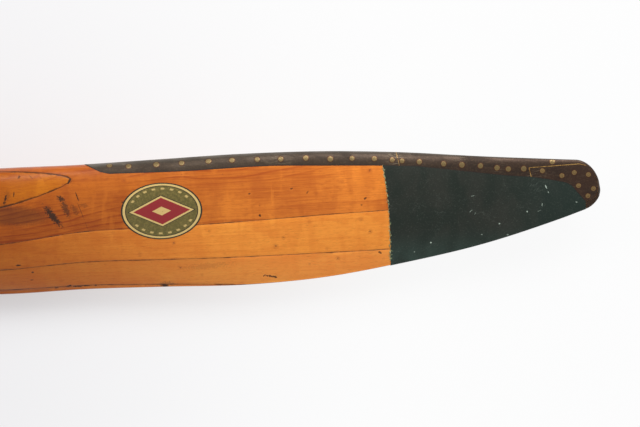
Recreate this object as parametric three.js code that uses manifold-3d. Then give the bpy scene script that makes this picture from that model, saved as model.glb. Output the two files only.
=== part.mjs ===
// A two-bladed wooden aircraft propeller, built up from five glued boards, with soldered brass sheathing on
// its leading edges, riveted brass tip plates, fabric-covered tips and a bolted steel hub with a captive nut.
//
// Millimetres. The shaft axis is Z and the propeller faces +Z. Blade a points along +X and blade b along -X.
// The origin is on the shaft axis, on the face of the hub that rests against the engine's thrust washer.

import * as THREE from 'three';
import { mergeVertices } from 'three/addons/utils/BufferGeometryUtils.js';
import Module from 'manifold-3d';

const wasm = await Module();
wasm.setup();

// ---------------------------------------------------------------- driving dimensions

const DIAMETER = 2134;              // tip to tip, 84 in
const GAP = 0.3;                    // clearance between pieces that touch
const BOARDS = 5;
const BOARD_PITCH = 22.2;           // one planed board, 7/8 in
const BOSS_RADIUS = 101;            // round wooden boss, 203 mm across
const BOSS_FILLET = 60;             // how far the blade roots run out of the boss faces
const BOSS_CORNER = 9;              // rounding of the boss edges
const OUTLINE_FILLET = 26;          // rounding between the boss and the blade edges, seen from the front

const REAR_BOSS = { radius: 40, height: 12 };      // end of the hub barrel, behind the flange
const FLANGE = { radius: 89, rear: 9.5, front: 8 };
const BARREL_RADIUS = 33.35;
const BARREL_STANDOUT = 22;         // barrel beyond the front flange
const TAPER = { rear: 25, front: 19 };             // radii of the tapered bore
const KEYWAY = { width: 9.6, depth: 3.2 };
const COUNTERBORE = { radius: 26, depth: 32 };     // room for the hub nut
const HUB_NUT = {
  flange: 25.7, flangeHeight: 7, body: 22, height: 45, thread: 14, socket: 18, socketDepth: 18,
};
const TOMMY_HOLE = { radius: 4.5, fromTop: 8, count: 4 };
const RING_GROOVE = { radius: 28.5, width: 3 };
const SNAP_RING = { inner: 22.6, outer: 28.2, width: 2.4, opening: 34 };

const BOLT = { count: 8, radius: 6.35, circle: 66.7, across: 19, head: 8.4, tail: 3 };
const NUT = { height: 9, castle: 5, castleRadius: 9, slot: 3.6 };
const COTTER = { radius: 1.3, hole: 1.7, length: 23, head: 2.1, headLength: 1.8 };

const SKIN = 0.5;                   // brass sheet: half of it is let into the wood
const FABRIC = 0.5;
const DECAL = { x: 563, y: 3.9, length: 93.2, height: 64.7, thickness: 0.3 };
const RIVET = { head: 3.2, shank: 1.6, proud: 0.6 };

const UNDER = -10;                  // heights below and above the whole propeller, for cutting tools
const OVER = 200;
const ASIDE = 3;                    // moves a solid further than any covering is thick
const CHAMFER = 1.5;                // turned edges of the hub and its nut
const SIDES = { turned: 24, nut: 20, castle: 12, bolt: 8, rivet: 6 };      // flats round each kind of piece

// ---------------------------------------------------------------- blade laws

const TIP = DIAMETER / 2;
const WOOD_REAR = REAR_BOSS.height + FLANGE.rear + GAP;
const WOOD_DEPTH = BOARDS * BOARD_PITCH;
const TIP_Y = 2.8;                  // where the blade's outermost point lies across its width
const TIP_ROUND = { lead: 27, trail: 17 };
const TIP_THINNING = 3;             // the blade thins to nothing over this last length
const BOSS_SQUARENESS = 0.25;       // 0 gives the boss square edges, 1 round ones

// One station per row, from the shaft axis out. lead and trail: the two edges. rise: height of the flat rear
// face on the blade's centre line. angle: slope of that face. thick: from the rear face to the top of the
// cambered front. belly: how far the rear bulges near the root. nose and tail: thickness of the two edges.
const STATIONS = [
  { x: 0, lead: 40, trail: -40, rise: 28, angle: 25, thick: 56, belly: 26, nose: 16, tail: 9 },
  { x: 90, lead: 49, trail: -54, rise: 29, angle: 24.5, thick: 55, belly: 24, nose: 16, tail: 9 },
  { x: 150, lead: 50.5, trail: -59, rise: 31.5, angle: 24, thick: 52.5, belly: 18, nose: 15, tail: 8.5 },
  { x: 210, lead: 54.5, trail: -68, rise: 35, angle: 23, thick: 50, belly: 10, nose: 14.5, tail: 8 },
  { x: 290, lead: 60, trail: -79, rise: 38.5, angle: 21.5, thick: 46, belly: 3, nose: 14, tail: 7 },
  { x: 377, lead: 62, trail: -83.2, rise: 40.7, angle: 20.2, thick: 40.3, belly: 0, nose: 11, tail: 5.5 },
  { x: 470, lead: 61.5, trail: -82, rise: 42.4, angle: 20, thick: 32, belly: 0, nose: 8.8, tail: 4.5 },
  { x: 563, lead: 63, trail: -83.8, rise: 46.4, angle: 20.4, thick: 26.9, belly: 0, nose: 6.2, tail: 3.8 },
  { x: 655, lead: 64.5, trail: -86, rise: 49.1, angle: 19.9, thick: 23, belly: 0, nose: 6, tail: 3.4 },
  { x: 748, lead: 63, trail: -81.5, rise: 50.7, angle: 18.9, thick: 20, belly: 0, nose: 5.7, tail: 3.2 },
  { x: 839, lead: 57.4, trail: -68.9, rise: 52.1, angle: 17.3, thick: 17.3, belly: 0, nose: 4.9, tail: 3 },
  { x: 931, lead: 48.2, trail: -51.7, rise: 52.8, angle: 15.2, thick: 11.6, belly: 0, nose: 4.5, tail: 2.8 },
  { x: 1023, lead: 40.2, trail: -26.4, rise: 53.2, angle: 13.5, thick: 7.6, belly: 0, nose: 4.2, tail: 2.6 },
  { x: 1067, lead: 36.9, trail: -10.4, rise: 53.2, angle: 13, thick: 5.6, belly: 0, nose: 4, tail: 2.5 },
];

// Where the loft has a cross-section.
const SECTIONS = [
  0, 45, 75, 92, 110, 135, 170, 215, 270, 340, 430, 530, 640, 740, 820, 890, 950, 1005, 1040, 1058, 1066,
];

// Where a cross-section has its points, as fractions of the width. Both lists read the same from either end.
const FRONT_POINTS = [0, 0.08, 0.26, 0.5, 0.74, 0.92, 1];
const REAR_POINTS = [0, 0.2, 0.5, 0.8, 1];
const EDGE_POINTS = 3;
const RING = FRONT_POINTS.length + REAR_POINTS.length + 2 * EDGE_POINTS;

// Shape of the cambered front: full just behind the leading edge, running out flat to the trailing edge.
const CAMBER = { rise: 0.45, fall: 0.85 };
const CREST = CAMBER.rise / (CAMBER.rise + CAMBER.fall);

const radians = THREE.MathUtils.degToRad;
const mix = THREE.MathUtils.lerp;

// Value of one column of the station table at x, on a smooth curve through the rows.
function station(column, x) {
  const last = STATIONS.length - 1;
  let i = 0;
  while (i < last - 1 && STATIONS[i + 1].x < x) i += 1;
  const slope = (k) => {
    const before = STATIONS[Math.max(k - 1, 0)];
    const after = STATIONS[Math.min(k + 1, last)];
    return (after[column] - before[column]) / (after.x - before.x);
  };
  const from = STATIONS[i];
  const to = STATIONS[i + 1];
  const span = to.x - from.x;
  const t = (x - from.x) / span;
  const ends = from[column] * (1 + 2 * t) * (1 - t) ** 2 + to[column] * t * t * (3 - 2 * t);
  return ends + span * (slope(i) * t * (1 - t) ** 2 - slope(i + 1) * t * t * (1 - t));
}

// The larger of two lengths, rounded where they are nearly equal.
function roundedMax(a, b, rounding) {
  const closeness = Math.max(rounding - Math.abs(a - b), 0) / rounding;
  return Math.max(a, b) + closeness * closeness * rounding / 4;
}

// Distance of one edge of the blade from its centre line at x: positive ahead, negative behind.
function edge(column, x) {
  const side = column === 'lead' ? 1 : -1;
  const boss = Math.sqrt(Math.max(BOSS_RADIUS ** 2 - x * x, 0));
  const plain = side * roundedMax(side * station(column, x), boss, OUTLINE_FILLET);
  const into = Math.max(x - (TIP - TIP_ROUND[column]), 0) / TIP_ROUND[column];
  return TIP_Y + (plain - TIP_Y) * Math.sqrt(Math.max(1 - into * into, 0));
}

// Fullness of the cambered front at a fraction of the width behind the leading edge.
function camber(v) {
  const shape = (t) => t ** CAMBER.rise * (1 - t) ** CAMBER.fall;
  return shape(v) / shape(CREST);
}

// Height of the flat rear face, continued to the blade's edges, at a fraction of the width.
function facePlane(at, v) {
  return at.rise + mix(at.lead, at.trail, v) * Math.tan(radians(at.angle));
}

function frontHeight(at, v) {
  const crown = (at.thick - at.nose / 2) * camber(v) / Math.cos(radians(at.angle));
  return facePlane(at, v) + crown + at.nose * (1 - v) ** 3 + at.tail * v;
}

function rearHeight(at, v) {
  return facePlane(at, v) - at.belly * 4 * v * (1 - v);
}

// The points of one bare blade section: front, trailing edge, rear, leading edge, as [y, z] pairs.
function bladeRing(at) {
  const width = at.lead - at.trail;
  const noseV = 0.45 * at.nose / width;
  const tailV = 0.5 * at.tail / width;
  const across = (v) => mix(at.lead, at.trail, v);
  const inner = (fraction) => mix(noseV, 1 - tailV, fraction);
  const points = FRONT_POINTS.map((f) => [across(inner(f)), frontHeight(at, inner(f))]);
  const tailFront = frontHeight(at, 1 - tailV);
  const tailRear = rearHeight(at, 1 - tailV);
  for (let i = 1; i <= EDGE_POINTS; i += 1) {
    const turn = Math.PI * i / (EDGE_POINTS + 1);
    const reach = Math.sin(turn) * 0.5 * at.tail;
    points.push([across(1 - tailV) - reach, mix(tailRear, tailFront, (1 + Math.cos(turn)) / 2)]);
  }
  for (const f of [...REAR_POINTS].reverse()) points.push([across(inner(f)), rearHeight(at, inner(f))]);
  const middle = (EDGE_POINTS - 1) / 2;
  for (let i = 1; i <= EDGE_POINTS; i += 1) {
    const turn = Math.PI / 2 * Math.abs(i - 1 - middle) / (middle + 1);
    const v = noseV * (1 - Math.cos(turn));
    const lower = facePlane(at, v) + at.nose * (1 - Math.sin(turn));
    points.push([across(v), i - 1 > middle ? frontHeight(at, v) : lower]);
  }
  return points;
}

// The points of one section of the round boss, in the same order.
function bossRing(at) {
  const across = (f) => mix(at.lead - BOSS_CORNER, at.trail + BOSS_CORNER, f);
  const points = FRONT_POINTS.map((f) => [across(f), WOOD_DEPTH]);
  const round = (side, i) => {
    const turn = Math.PI * i / (EDGE_POINTS + 1);
    const soft = (value) => Math.sign(value) * Math.abs(value) ** BOSS_SQUARENESS;
    const from = side > 0 ? at.lead - BOSS_CORNER : at.trail + BOSS_CORNER;
    const reach = BOSS_CORNER * soft(Math.sin(turn));
    return [from + side * reach, WOOD_DEPTH / 2 * (1 + soft(Math.cos(turn)))];
  };
  for (let i = 1; i <= EDGE_POINTS; i += 1) points.push(round(-1, i));
  for (const f of [...REAR_POINTS].reverse()) points.push([across(f), 0]);
  for (let i = EDGE_POINTS; i >= 1; i -= 1) points.push(round(1, i));
  return points;
}

// One section of the propeller at x, with the boss faded out beyond its radius.
function section(x) {
  const at = { lead: edge('lead', x), trail: edge('trail', x) };
  for (const column of ['rise', 'angle', 'thick', 'belly', 'nose', 'tail']) at[column] = station(column, x);
  const slim = Math.min(1, Math.sqrt(Math.max(TIP - x, 0) / TIP_THINNING));
  at.thick *= slim;
  const blade = bladeRing(at);
  return bossRing(at).map(([y, z], i) => {
    const radius = Math.hypot(x, y);
    const w = THREE.MathUtils.smoothstep(radius, BOSS_RADIUS, BOSS_RADIUS + BOSS_FILLET);
    return new THREE.Vector3(x, mix(y, blade[i][0], w), WOOD_REAR + mix(z, blade[i][1], w));
  });
}

// ---------------------------------------------------------------- solids

// A closed three.js geometry as a solid that can be cut and joined.
function solid(geometry) {
  const bare = geometry.index ? geometry.toNonIndexed() : geometry.clone();
  bare.deleteAttribute('normal');
  bare.deleteAttribute('uv');
  const merged = mergeVertices(bare, 1e-4);
  const corners = Array.from(merged.index.array);
  const kept = [];
  for (let i = 0; i < corners.length; i += 3) {
    const [a, b, c] = corners.slice(i, i + 3);
    if (a !== b && b !== c && c !== a) kept.push(a, b, c);
  }
  return new wasm.Manifold(new wasm.Mesh({
    numProp: 3,
    vertProperties: new Float32Array(merged.attributes.position.array),
    triVerts: new Uint32Array(kept),
  }));
}

// The largest separate body of a solid: cutting a thin edge can leave slivers beside it.
function largest(shape) {
  const bodies = shape.decompose();
  return bodies.reduce((best, body) => (body.volume() > best.volume() ? body : best));
}

// The whole wooden shape, tip to tip, with every face moved out by a distance.
function propellerShape(outset) {
  const bladeA = SECTIONS.map(section);
  const bladeB = SECTIONS.slice(1).reverse().map((x) => {
    const ring = section(x);
    return ring.map((_, i) => {
      const p = ring[(FRONT_POINTS.length - 1 - i + RING) % RING];
      return new THREE.Vector3(-p.x, -p.y, p.z);
    });
  });
  const rings = [...bladeB, ...bladeA];
  const index = [];
  for (let r = 0; r < rings.length - 1; r += 1) {
    for (let i = 0; i < RING; i += 1) {
      const a = r * RING + i;
      const b = r * RING + (i + 1) % RING;
      index.push(a, b, a + RING, b, b + RING, a + RING);
    }
  }
  const cap = (start, flip) => {
    const outline = rings[start / RING].map((p) => new THREE.Vector2(p.y, p.z));
    for (const [a, b, c] of THREE.ShapeUtils.triangulateShape(outline, [])) {
      index.push(start + a, start + (flip ? c : b), start + (flip ? b : c));
    }
  };
  cap(0, true);
  cap((rings.length - 1) * RING, false);
  const geometry = new THREE.BufferGeometry().setFromPoints(rings.flat());
  geometry.setIndex(index);
  geometry.computeVertexNormals();
  const { position, normal } = geometry.attributes;
  const p = new THREE.Vector3();
  const n = new THREE.Vector3();
  for (let i = 0; i < position.count; i += 1) {
    p.fromBufferAttribute(position, i).addScaledVector(n.fromBufferAttribute(normal, i), outset);
    position.setXYZ(i, p.x, p.y, p.z);
  }
  return solid(geometry);
}

// The part of space over a closed outline in the XY plane, with the outline moved out by a distance.
function column(outline, outset) {
  const points = outline.map(([x, y]) => new THREE.Vector2(x, y));
  if (THREE.ShapeUtils.area(points) < 0) points.reverse();
  const moved = points.map((point, i) => {
    const before = points.at(i - 1);
    const after = points[(i + 1) % points.length];
    const normals = [[before, point], [point, after]].map(([a, b]) => {
      const along = b.clone().sub(a).normalize();
      return new THREE.Vector2(along.y, -along.x);
    });
    const corner = normals[0].clone().add(normals[1]);
    return point.clone().addScaledVector(corner, 2 * outset / corner.lengthSq());
  });
  const settings = { depth: OVER - UNDER, bevelEnabled: false };
  const geometry = new THREE.ExtrudeGeometry(new THREE.Shape(moved), settings);
  geometry.translate(0, 0, UNDER);
  return solid(geometry);
}

// An upright rod from one height to another, or a cone when it has two radii.
function rod(radius, from, to, sides = 16, topRadius = radius) {
  const geometry = new THREE.CylinderGeometry(topRadius, radius, to - from, sides);
  geometry.rotateX(Math.PI / 2);
  geometry.translate(0, 0, (from + to) / 2);
  return solid(geometry);
}

// A turned piece: the closed profile is a list of [radius, height] corners.
function turned(profile, sides) {
  const points = profile.map(([r, z]) => new THREE.Vector2(r, z));
  if (THREE.ShapeUtils.area(points) < 0) points.reverse();
  points.push(points[0].clone());
  const geometry = new THREE.LatheGeometry(points, sides);
  geometry.rotateX(Math.PI / 2);
  return solid(geometry);
}

// A block given by its size and its centre.
function block(size, centre) {
  return solid(new THREE.BoxGeometry(...size).translate(...centre));
}

// A smooth curve through a few points, as a list of points.
function smooth(points, divisions) {
  const curve = new THREE.SplineCurve(points.map(([x, y]) => new THREE.Vector2(x, y)));
  return curve.getPoints(divisions).map((p) => [p.x, p.y]);
}

// ---------------------------------------------------------------- outlines on the blade, seen from the front

const AHEAD = 85;                   // clear of the leading edge
const BEHIND = -100;                // clear of the trailing edge

// Inner edge of the brass, from where it leaves the leading edge, past the joint of the two sheaths and the
// start of the tip plate, to the trailing edge at the tip.
const SHEATH_START = [[478, AHEAD], [478, 62], [496, 52.2]];
const SHEATH_INNER = smooth([[506, 49.8], [590, 48.6], [682, 49.8], [752, 46.9], [818, 43.7]], 4);
const JOINT = [[837.4, 41.8], [834, 60], [834, AHEAD]];
const SHEATH_OUTER = smooth([JOINT[0], [861, 39.8], [908, 32.7], [957, 25.2], [988, 21.9]], 3);
const PLATE_INNER = smooth([[988, 21.9], [1017, 16], [1032, 11], [1041, 1], [1050, -10]], 5);
const PLATE_START = [985.8, 32.4];
const PLATE_RIM = smooth([[1044, 34], [1055, 29.4], [1062.4, 15], [1063.6, 2], [1060, -6]], 5);
const BEYOND_TIP = [[1049, BEHIND], [TIP + 20, BEHIND], [TIP + 20, AHEAD]];
const FABRIC_EDGE = [[818.4, 43.6], [820.7, 23], [822.3, 0], [823.4, -30], [822.2, -70], [821.5, BEHIND]];

const INBOARD_SHEATH = [...SHEATH_START, ...SHEATH_INNER, ...JOINT];
const RIM = [PLATE_START, ...PLATE_RIM, PLATE_INNER.at(-1)];
const OUTBOARD_SHEATH = [...SHEATH_OUTER, ...RIM, ...BEYOND_TIP, ...JOINT.slice(1).reverse()];
const TIP_PLATE = [...PLATE_INNER, ...[...RIM].reverse().slice(1)];
const BRASS_LINE = [...SHEATH_OUTER.slice(0, -1), ...PLATE_INNER];
const TIP_FABRIC = [...BRASS_LINE, BEYOND_TIP[0], ...[...FABRIC_EDGE].reverse()];
const RIVETS = [
  [1001.1, 28.2], [1023.3, 21.6], [1037.7, 24.4], [1053.8, 21.3], [1042, 9.2], [1059.1, 5], [1052.5, -3],
];

// ---------------------------------------------------------------- wood, brass, fabric and decals

const wood = propellerShape(0);
const letIn = propellerShape(-SKIN / 2 - GAP);
const brass = propellerShape(SKIN / 2).subtract(propellerShape(-SKIN / 2));
const fabric = propellerShape(GAP + FABRIC).subtract(propellerShape(GAP));
const film = propellerShape(GAP + DECAL.thickness).subtract(propellerShape(GAP));
const rivetHeads = propellerShape(RIVET.proud).subtract(propellerShape(-SKIN / 2));

const HALF_TURN = [0, 0, 180];
const bothBlades = (shape) => shape.add(shape.rotate(HALF_TURN));
const boltAngles = Array.from({ length: BOLT.count }, (_, i) => Math.PI * (2 * i + 1) / BOLT.count);
const atBolt = (shape, angle) => {
  const [x, y] = [BOLT.circle * Math.cos(angle), BOLT.circle * Math.sin(angle)];
  return shape.rotate([0, 0, THREE.MathUtils.radToDeg(angle)]).translate([x, y, 0]);
};
const join = (all, next) => all.add(next);
const atRivets = (radius, sides) => (
  RIVETS.map(([x, y]) => rod(radius, UNDER, OVER, sides).translate([x, y, 0]))
);

// Boards

const underBrass = [INBOARD_SHEATH, OUTBOARD_SHEATH, TIP_PLATE]
  .map((outline) => column(outline, GAP / 2))
  .reduce(join)
  .subtract(letIn);
const rivetHoles = atRivets(RIVET.shank + GAP, SIDES.rivet).reduce(join);
const boltHole = rod(BOLT.radius + GAP, UNDER, OVER, SIDES.bolt);
const boltHoles = boltAngles.map((angle) => atBolt(boltHole, angle)).reduce(join);
const bore = rod(BARREL_RADIUS + GAP, UNDER, OVER, SIDES.turned);
const shaped = wood.subtract(bothBlades(underBrass.add(rivetHoles))).subtract(boltHoles).subtract(bore);

const parts = [];
const add = (name, shape, material) => parts.push({ name, shape, material });

for (let i = 0; i < BOARDS; i += 1) {
  const thickness = BOARD_PITCH - (i > 0 ? GAP / 2 : 0) - (i < BOARDS - 1 ? GAP / 2 : 0);
  const bottom = WOOD_REAR + i * BOARD_PITCH + (i > 0 ? GAP / 2 : 0);
  const slab = block([2 * DIAMETER, 2 * DIAMETER, thickness], [0, 0, bottom + thickness / 2]);
  add(`wood_board_${i + 1}`, largest(shaped.intersect(slab)), 'wood');
}

// Skins of one blade, repeated on the other blade by half a turn about the shaft

const headHoles = atRivets(RIVET.head + GAP, SIDES.rivet).reduce(join);
const plates = brass.intersect(column(TIP_PLATE, -GAP / 2)).subtract(headHoles);
const decalOutline = new THREE.EllipseCurve(DECAL.x, DECAL.y, DECAL.length / 2, DECAL.height / 2)
  .getPoints(24).slice(1).map((p) => [p.x, p.y]);
const FRONT = [0, 0, -ASIDE];
const REAR = [0, 0, ASIDE];
const outermost = propellerShape(GAP + DECAL.thickness);
const skins = {
  leading_edge_sheath_inboard: [brass.intersect(column(INBOARD_SHEATH, -GAP / 2)), 'brass'],
  leading_edge_sheath_outboard: [brass.intersect(column(OUTBOARD_SHEATH, -GAP / 2)), 'brass'],
  tip_plate_front: [plates.subtract(outermost.translate(FRONT)), 'plate'],
  tip_plate_rear: [plates.subtract(outermost.translate(REAR)), 'plate'],
  tip_fabric: [fabric.intersect(column(TIP_FABRIC, -GAP / 2)), 'fabric'],
  decal: [film.intersect(column(decalOutline, 0)).subtract(outermost.translate(FRONT)), 'decal'],
};
const shanks = atRivets(RIVET.shank, SIDES.rivet);
const heads = atRivets(RIVET.head, SIDES.rivet);
for (let i = 0; i < RIVETS.length; i += 1) {
  const rivet = shanks[i].intersect(wood).add(heads[i].intersect(rivetHeads));
  skins[`tip_rivet_${i + 1}`] = [rivet, 'rivet'];
}
for (const [name, [shape, material]] of Object.entries(skins)) {
  const skin = largest(shape);
  add(`${name}_a`, skin, material);
  add(`${name}_b`, skin.rotate(HALF_TURN), material);
}

// ---------------------------------------------------------------- steel hub

const flangeTop = WOOD_REAR - GAP;
const plateBottom = WOOD_REAR + WOOD_DEPTH + GAP;
const plateTop = plateBottom + FLANGE.front;
const barrelTop = plateTop + BARREL_STANDOUT;
const shelf = barrelTop - COUNTERBORE.depth;
const nutBottom = shelf + GAP;
const grooveBottom = nutBottom + HUB_NUT.flangeHeight + GAP;

const hubProfile = [
  [TAPER.front / 2, 0], [REAR_BOSS.radius - CHAMFER, 0], [REAR_BOSS.radius, CHAMFER],
  [REAR_BOSS.radius, REAR_BOSS.height], [FLANGE.radius, REAR_BOSS.height], [FLANGE.radius, flangeTop],
  [BARREL_RADIUS, flangeTop], [BARREL_RADIUS, barrelTop - CHAMFER], [BARREL_RADIUS - CHAMFER, barrelTop],
  [TAPER.front / 2, barrelTop],
];
const taperBore = rod(TAPER.rear, -0.01, shelf, SIDES.turned, TAPER.front);
const nutRoom = turned([
  [0, shelf - 0.01], [COUNTERBORE.radius, shelf - 0.01], [COUNTERBORE.radius, grooveBottom],
  [RING_GROOVE.radius, grooveBottom], [RING_GROOVE.radius, grooveBottom + RING_GROOVE.width],
  [COUNTERBORE.radius, grooveBottom + RING_GROOVE.width], [COUNTERBORE.radius, barrelTop + 1],
  [0, barrelTop + 1],
], SIDES.turned);
const taperTilt = THREE.MathUtils.radToDeg(Math.atan((TAPER.rear - TAPER.front) / shelf));
const keyReach = KEYWAY.depth + TAPER.rear;
const keyway = block([keyReach, KEYWAY.width, 2 * shelf], [keyReach / 2, 0, 0]).rotate([0, -taperTilt, 0]);
const hub = turned(hubProfile, SIDES.turned).subtract(taperBore).subtract(nutRoom).subtract(keyway);
add('hub_body', hub.subtract(boltHoles), 'steel');
const flangePlate = rod(FLANGE.radius, plateBottom, plateTop, SIDES.turned).subtract(bore);
add('front_flange', flangePlate.subtract(boltHoles), 'steel');

const nutTop = nutBottom + HUB_NUT.height;
const hubNutProfile = [
  [HUB_NUT.thread, nutBottom], [HUB_NUT.flange, nutBottom],
  [HUB_NUT.flange, nutBottom + HUB_NUT.flangeHeight], [HUB_NUT.body, nutBottom + HUB_NUT.flangeHeight],
  [HUB_NUT.body, nutTop - CHAMFER], [HUB_NUT.body - CHAMFER, nutTop],
  [HUB_NUT.socket, nutTop], [HUB_NUT.socket, nutTop - HUB_NUT.socketDepth],
  [HUB_NUT.thread, nutTop - HUB_NUT.socketDepth],
];
let hubNut = turned(hubNutProfile, SIDES.nut);
for (let i = 0; i < TOMMY_HOLE.count / 2; i += 1) {
  const bar = rod(TOMMY_HOLE.radius, -2 * HUB_NUT.body, 2 * HUB_NUT.body, SIDES.bolt);
  const hole = bar.rotate([90, 0, 360 * i / TOMMY_HOLE.count + 45]);
  hubNut = hubNut.subtract(hole.translate([0, 0, nutTop - TOMMY_HOLE.fromTop]));
}
add('hub_nut', hubNut, 'steel');

const ringBottom = grooveBottom + (RING_GROOVE.width - SNAP_RING.width) / 2;
const ringArc = radians(360 - SNAP_RING.opening);
const ringShape = new THREE.Shape()
  .absarc(0, 0, SNAP_RING.outer, 0, ringArc, false)
  .absarc(0, 0, SNAP_RING.inner, ringArc, 0, true);
const ringGeometry = new THREE.ExtrudeGeometry(ringShape, {
  depth: SNAP_RING.width, bevelEnabled: false, curveSegments: 14,
});
add('snap_ring', solid(ringGeometry.translate(0, 0, ringBottom)), 'steel');

// Bolts, castle nuts and cotter pins, made once on the shaft axis and turned and moved out to each bolt hole

const headTop = REAR_BOSS.height - GAP;
const castleBottom = plateTop + GAP;
const castleTop = castleBottom + NUT.height + NUT.castle;
const cotterHeight = castleTop - NUT.castle / 2;
const sideways = (radius, from, to, sides) => (
  rod(radius, from, to, sides).rotate([0, 90, 0]).translate([0, 0, cotterHeight])
);

const boltShape = rod(BOLT.radius, headTop - 1, castleTop + BOLT.tail, SIDES.bolt)
  .add(rod(BOLT.across / Math.sqrt(3), headTop - BOLT.head, headTop, 6))
  .subtract(sideways(COTTER.hole, -BOLT.across, BOLT.across, SIDES.bolt));
let nutShape = rod(BOLT.across / Math.sqrt(3), castleBottom, castleBottom + NUT.height, 6)
  .add(rod(NUT.castleRadius, castleBottom + 1, castleTop, SIDES.castle))
  .subtract(boltHole);
for (let i = 0; i < 3; i += 1) {
  const slot = block([2 * BOLT.across, NUT.slot, 2 * NUT.castle], [0, 0, castleTop]);
  nutShape = nutShape.subtract(slot.rotate([0, 0, 60 * i]));
}
const cotterShape = sideways(COTTER.radius, -COTTER.length / 2, COTTER.length / 2, 6)
  .add(sideways(COTTER.head, COTTER.length / 2 - COTTER.headLength, COTTER.length / 2, 6));
boltAngles.forEach((angle, i) => {
  add(`hub_bolt_${i + 1}`, atBolt(boltShape, angle), 'bolt');
  add(`castle_nut_${i + 1}`, atBolt(nutShape, angle), 'bolt');
  add(`cotter_pin_${i + 1}`, atBolt(cotterShape, angle), 'pin');
});

// ---------------------------------------------------------------- scene graph

const FINISHES = {
  wood: [0xc8782f, 0.35, 0],
  brass: [0x62503f, 0.5, 0.8],
  plate: [0x4a3a2c, 0.55, 0.8],
  rivet: [0x8b7047, 0.4, 0.9],
  fabric: [0x1f3a2c, 0.6, 0],
  decal: [0x8a7f3a, 0.45, 0],
  steel: [0x6d6f70, 0.4, 0.9],
  bolt: [0x8a8a82, 0.35, 0.9],
  pin: [0xa8a8a0, 0.3, 0.9],
};

const propeller = new THREE.Group();
for (const { name, shape, material } of parts) {
  const { vertProperties, triVerts } = shape.getMesh();
  const geometry = new THREE.BufferGeometry();
  geometry.setAttribute('position', new THREE.BufferAttribute(vertProperties, 3));
  geometry.setIndex(new THREE.BufferAttribute(triVerts, 1));
  geometry.computeVertexNormals();
  const [color, roughness, metalness] = FINISHES[material];
  const mesh = new THREE.Mesh(geometry, new THREE.MeshStandardMaterial({ color, roughness, metalness }));
  mesh.name = name;
  propeller.add(mesh);
}

export default propeller;
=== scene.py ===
"""The looks of a two-bladed wooden aircraft propeller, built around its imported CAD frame.

Five glued birch boards, soldered brass sheathing along the leading edges, riveted brass tip plates, doped green
fabric on the tips, an oval decal on each blade and a bolted steel hub with a captive nut. Sizes are in
millimetres, in the frame's own axes: the shaft axis is Z, blade a points along +X and blade b along -X.
"""

import logging
import math
import random
from contextlib import contextmanager
from dataclasses import dataclass, field
from enum import Enum
from functools import reduce
from typing import Iterator, Sequence

import bmesh
import bpy
import numpy as np
from mathutils import Matrix, Vector
from mathutils.bvhtree import BVHTree


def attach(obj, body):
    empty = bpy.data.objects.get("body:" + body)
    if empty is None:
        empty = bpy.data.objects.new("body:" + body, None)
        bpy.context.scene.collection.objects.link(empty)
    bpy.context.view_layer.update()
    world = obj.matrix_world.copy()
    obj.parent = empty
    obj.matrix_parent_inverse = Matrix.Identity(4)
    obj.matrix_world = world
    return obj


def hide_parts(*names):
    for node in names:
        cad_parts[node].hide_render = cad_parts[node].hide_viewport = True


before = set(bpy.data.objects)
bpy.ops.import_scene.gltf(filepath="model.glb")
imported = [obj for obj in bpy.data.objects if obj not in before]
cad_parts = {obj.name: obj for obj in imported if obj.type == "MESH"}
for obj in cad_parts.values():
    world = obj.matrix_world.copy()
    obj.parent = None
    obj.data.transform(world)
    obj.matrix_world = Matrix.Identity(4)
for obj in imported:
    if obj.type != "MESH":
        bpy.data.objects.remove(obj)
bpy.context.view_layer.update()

MM = 0.001
BELOW, ABOVE = -60.0, 260.0
BOLTS = 8
BOLT_CIRCLE = 66.7
BOLT_HOLE = 6.65
BOLT_TURNS = [math.pi * (2 * i + 1) / BOLTS for i in range(BOLTS)]
HALF_TURN = Matrix.Rotation(math.pi, 4, "Z")
log = logging.getLogger("propeller")

Point2 = tuple[float, float]
Colour = tuple[float, float, float]
Piece = bpy.types.Object
Socket = bpy.types.NodeSocket
Sockets = dict[str, object]


class Side(Enum):
    """The two faces of a blade: front is the cambered face, rear the flat one."""

    FRONT = 1
    REAR = -1


class Cut(Enum):
    """What one solid does to another."""

    KEEP_SHARED = "INTERSECT"
    TAKE_AWAY = "DIFFERENCE"
    JOIN = "UNION"


def linear(red: int, green: int, blue: int) -> Colour:
    """A colour given in the usual 0 to 255 steps, as the linear values that shaders take."""
    steps = [value / 255 for value in (red, green, blue)]
    return tuple(s / 12.92 if s <= 0.04045 else ((s + 0.055) / 1.055) ** 2.4 for s in steps)


# ---------------------------------------------------------------- meshes


def placed(name: str, mesh: bpy.types.Mesh) -> Piece:
    """Puts a mesh into the scene as a new object.

    Args:
        name: the object's name, which the mesh gets too.
        mesh: the mesh.

    Returns:
        The object.
    """
    made = bpy.data.objects.new(name, mesh)
    mesh.name = name
    bpy.context.scene.collection.objects.link(made)
    return made


def mesh_object(name: str, points: Sequence, faces: Sequence[Sequence[int]]) -> Piece:
    """Makes a mesh object.

    Args:
        name: the piece's name.
        points: its points in millimetres, one row each.
        faces: corner numbers of each face.

    Returns:
        The object, linked to the scene, in metres.
    """
    mesh = bpy.data.meshes.new(name)
    rows = np.array([tuple(point) for point in points], float) * MM
    mesh.from_pydata(rows.tolist(), [], [list(face) for face in faces])
    mesh.update()
    return placed(name, mesh)


@contextmanager
def reshaped(piece: Piece) -> Iterator[bmesh.types.BMesh]:
    """Opens a piece's mesh for changes and writes it back after them.

    Args:
        piece: the mesh object.

    Yields:
        The open mesh.
    """
    work = bmesh.new()
    work.from_mesh(piece.data)
    yield work
    work.to_mesh(piece.data)
    work.free()


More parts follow.
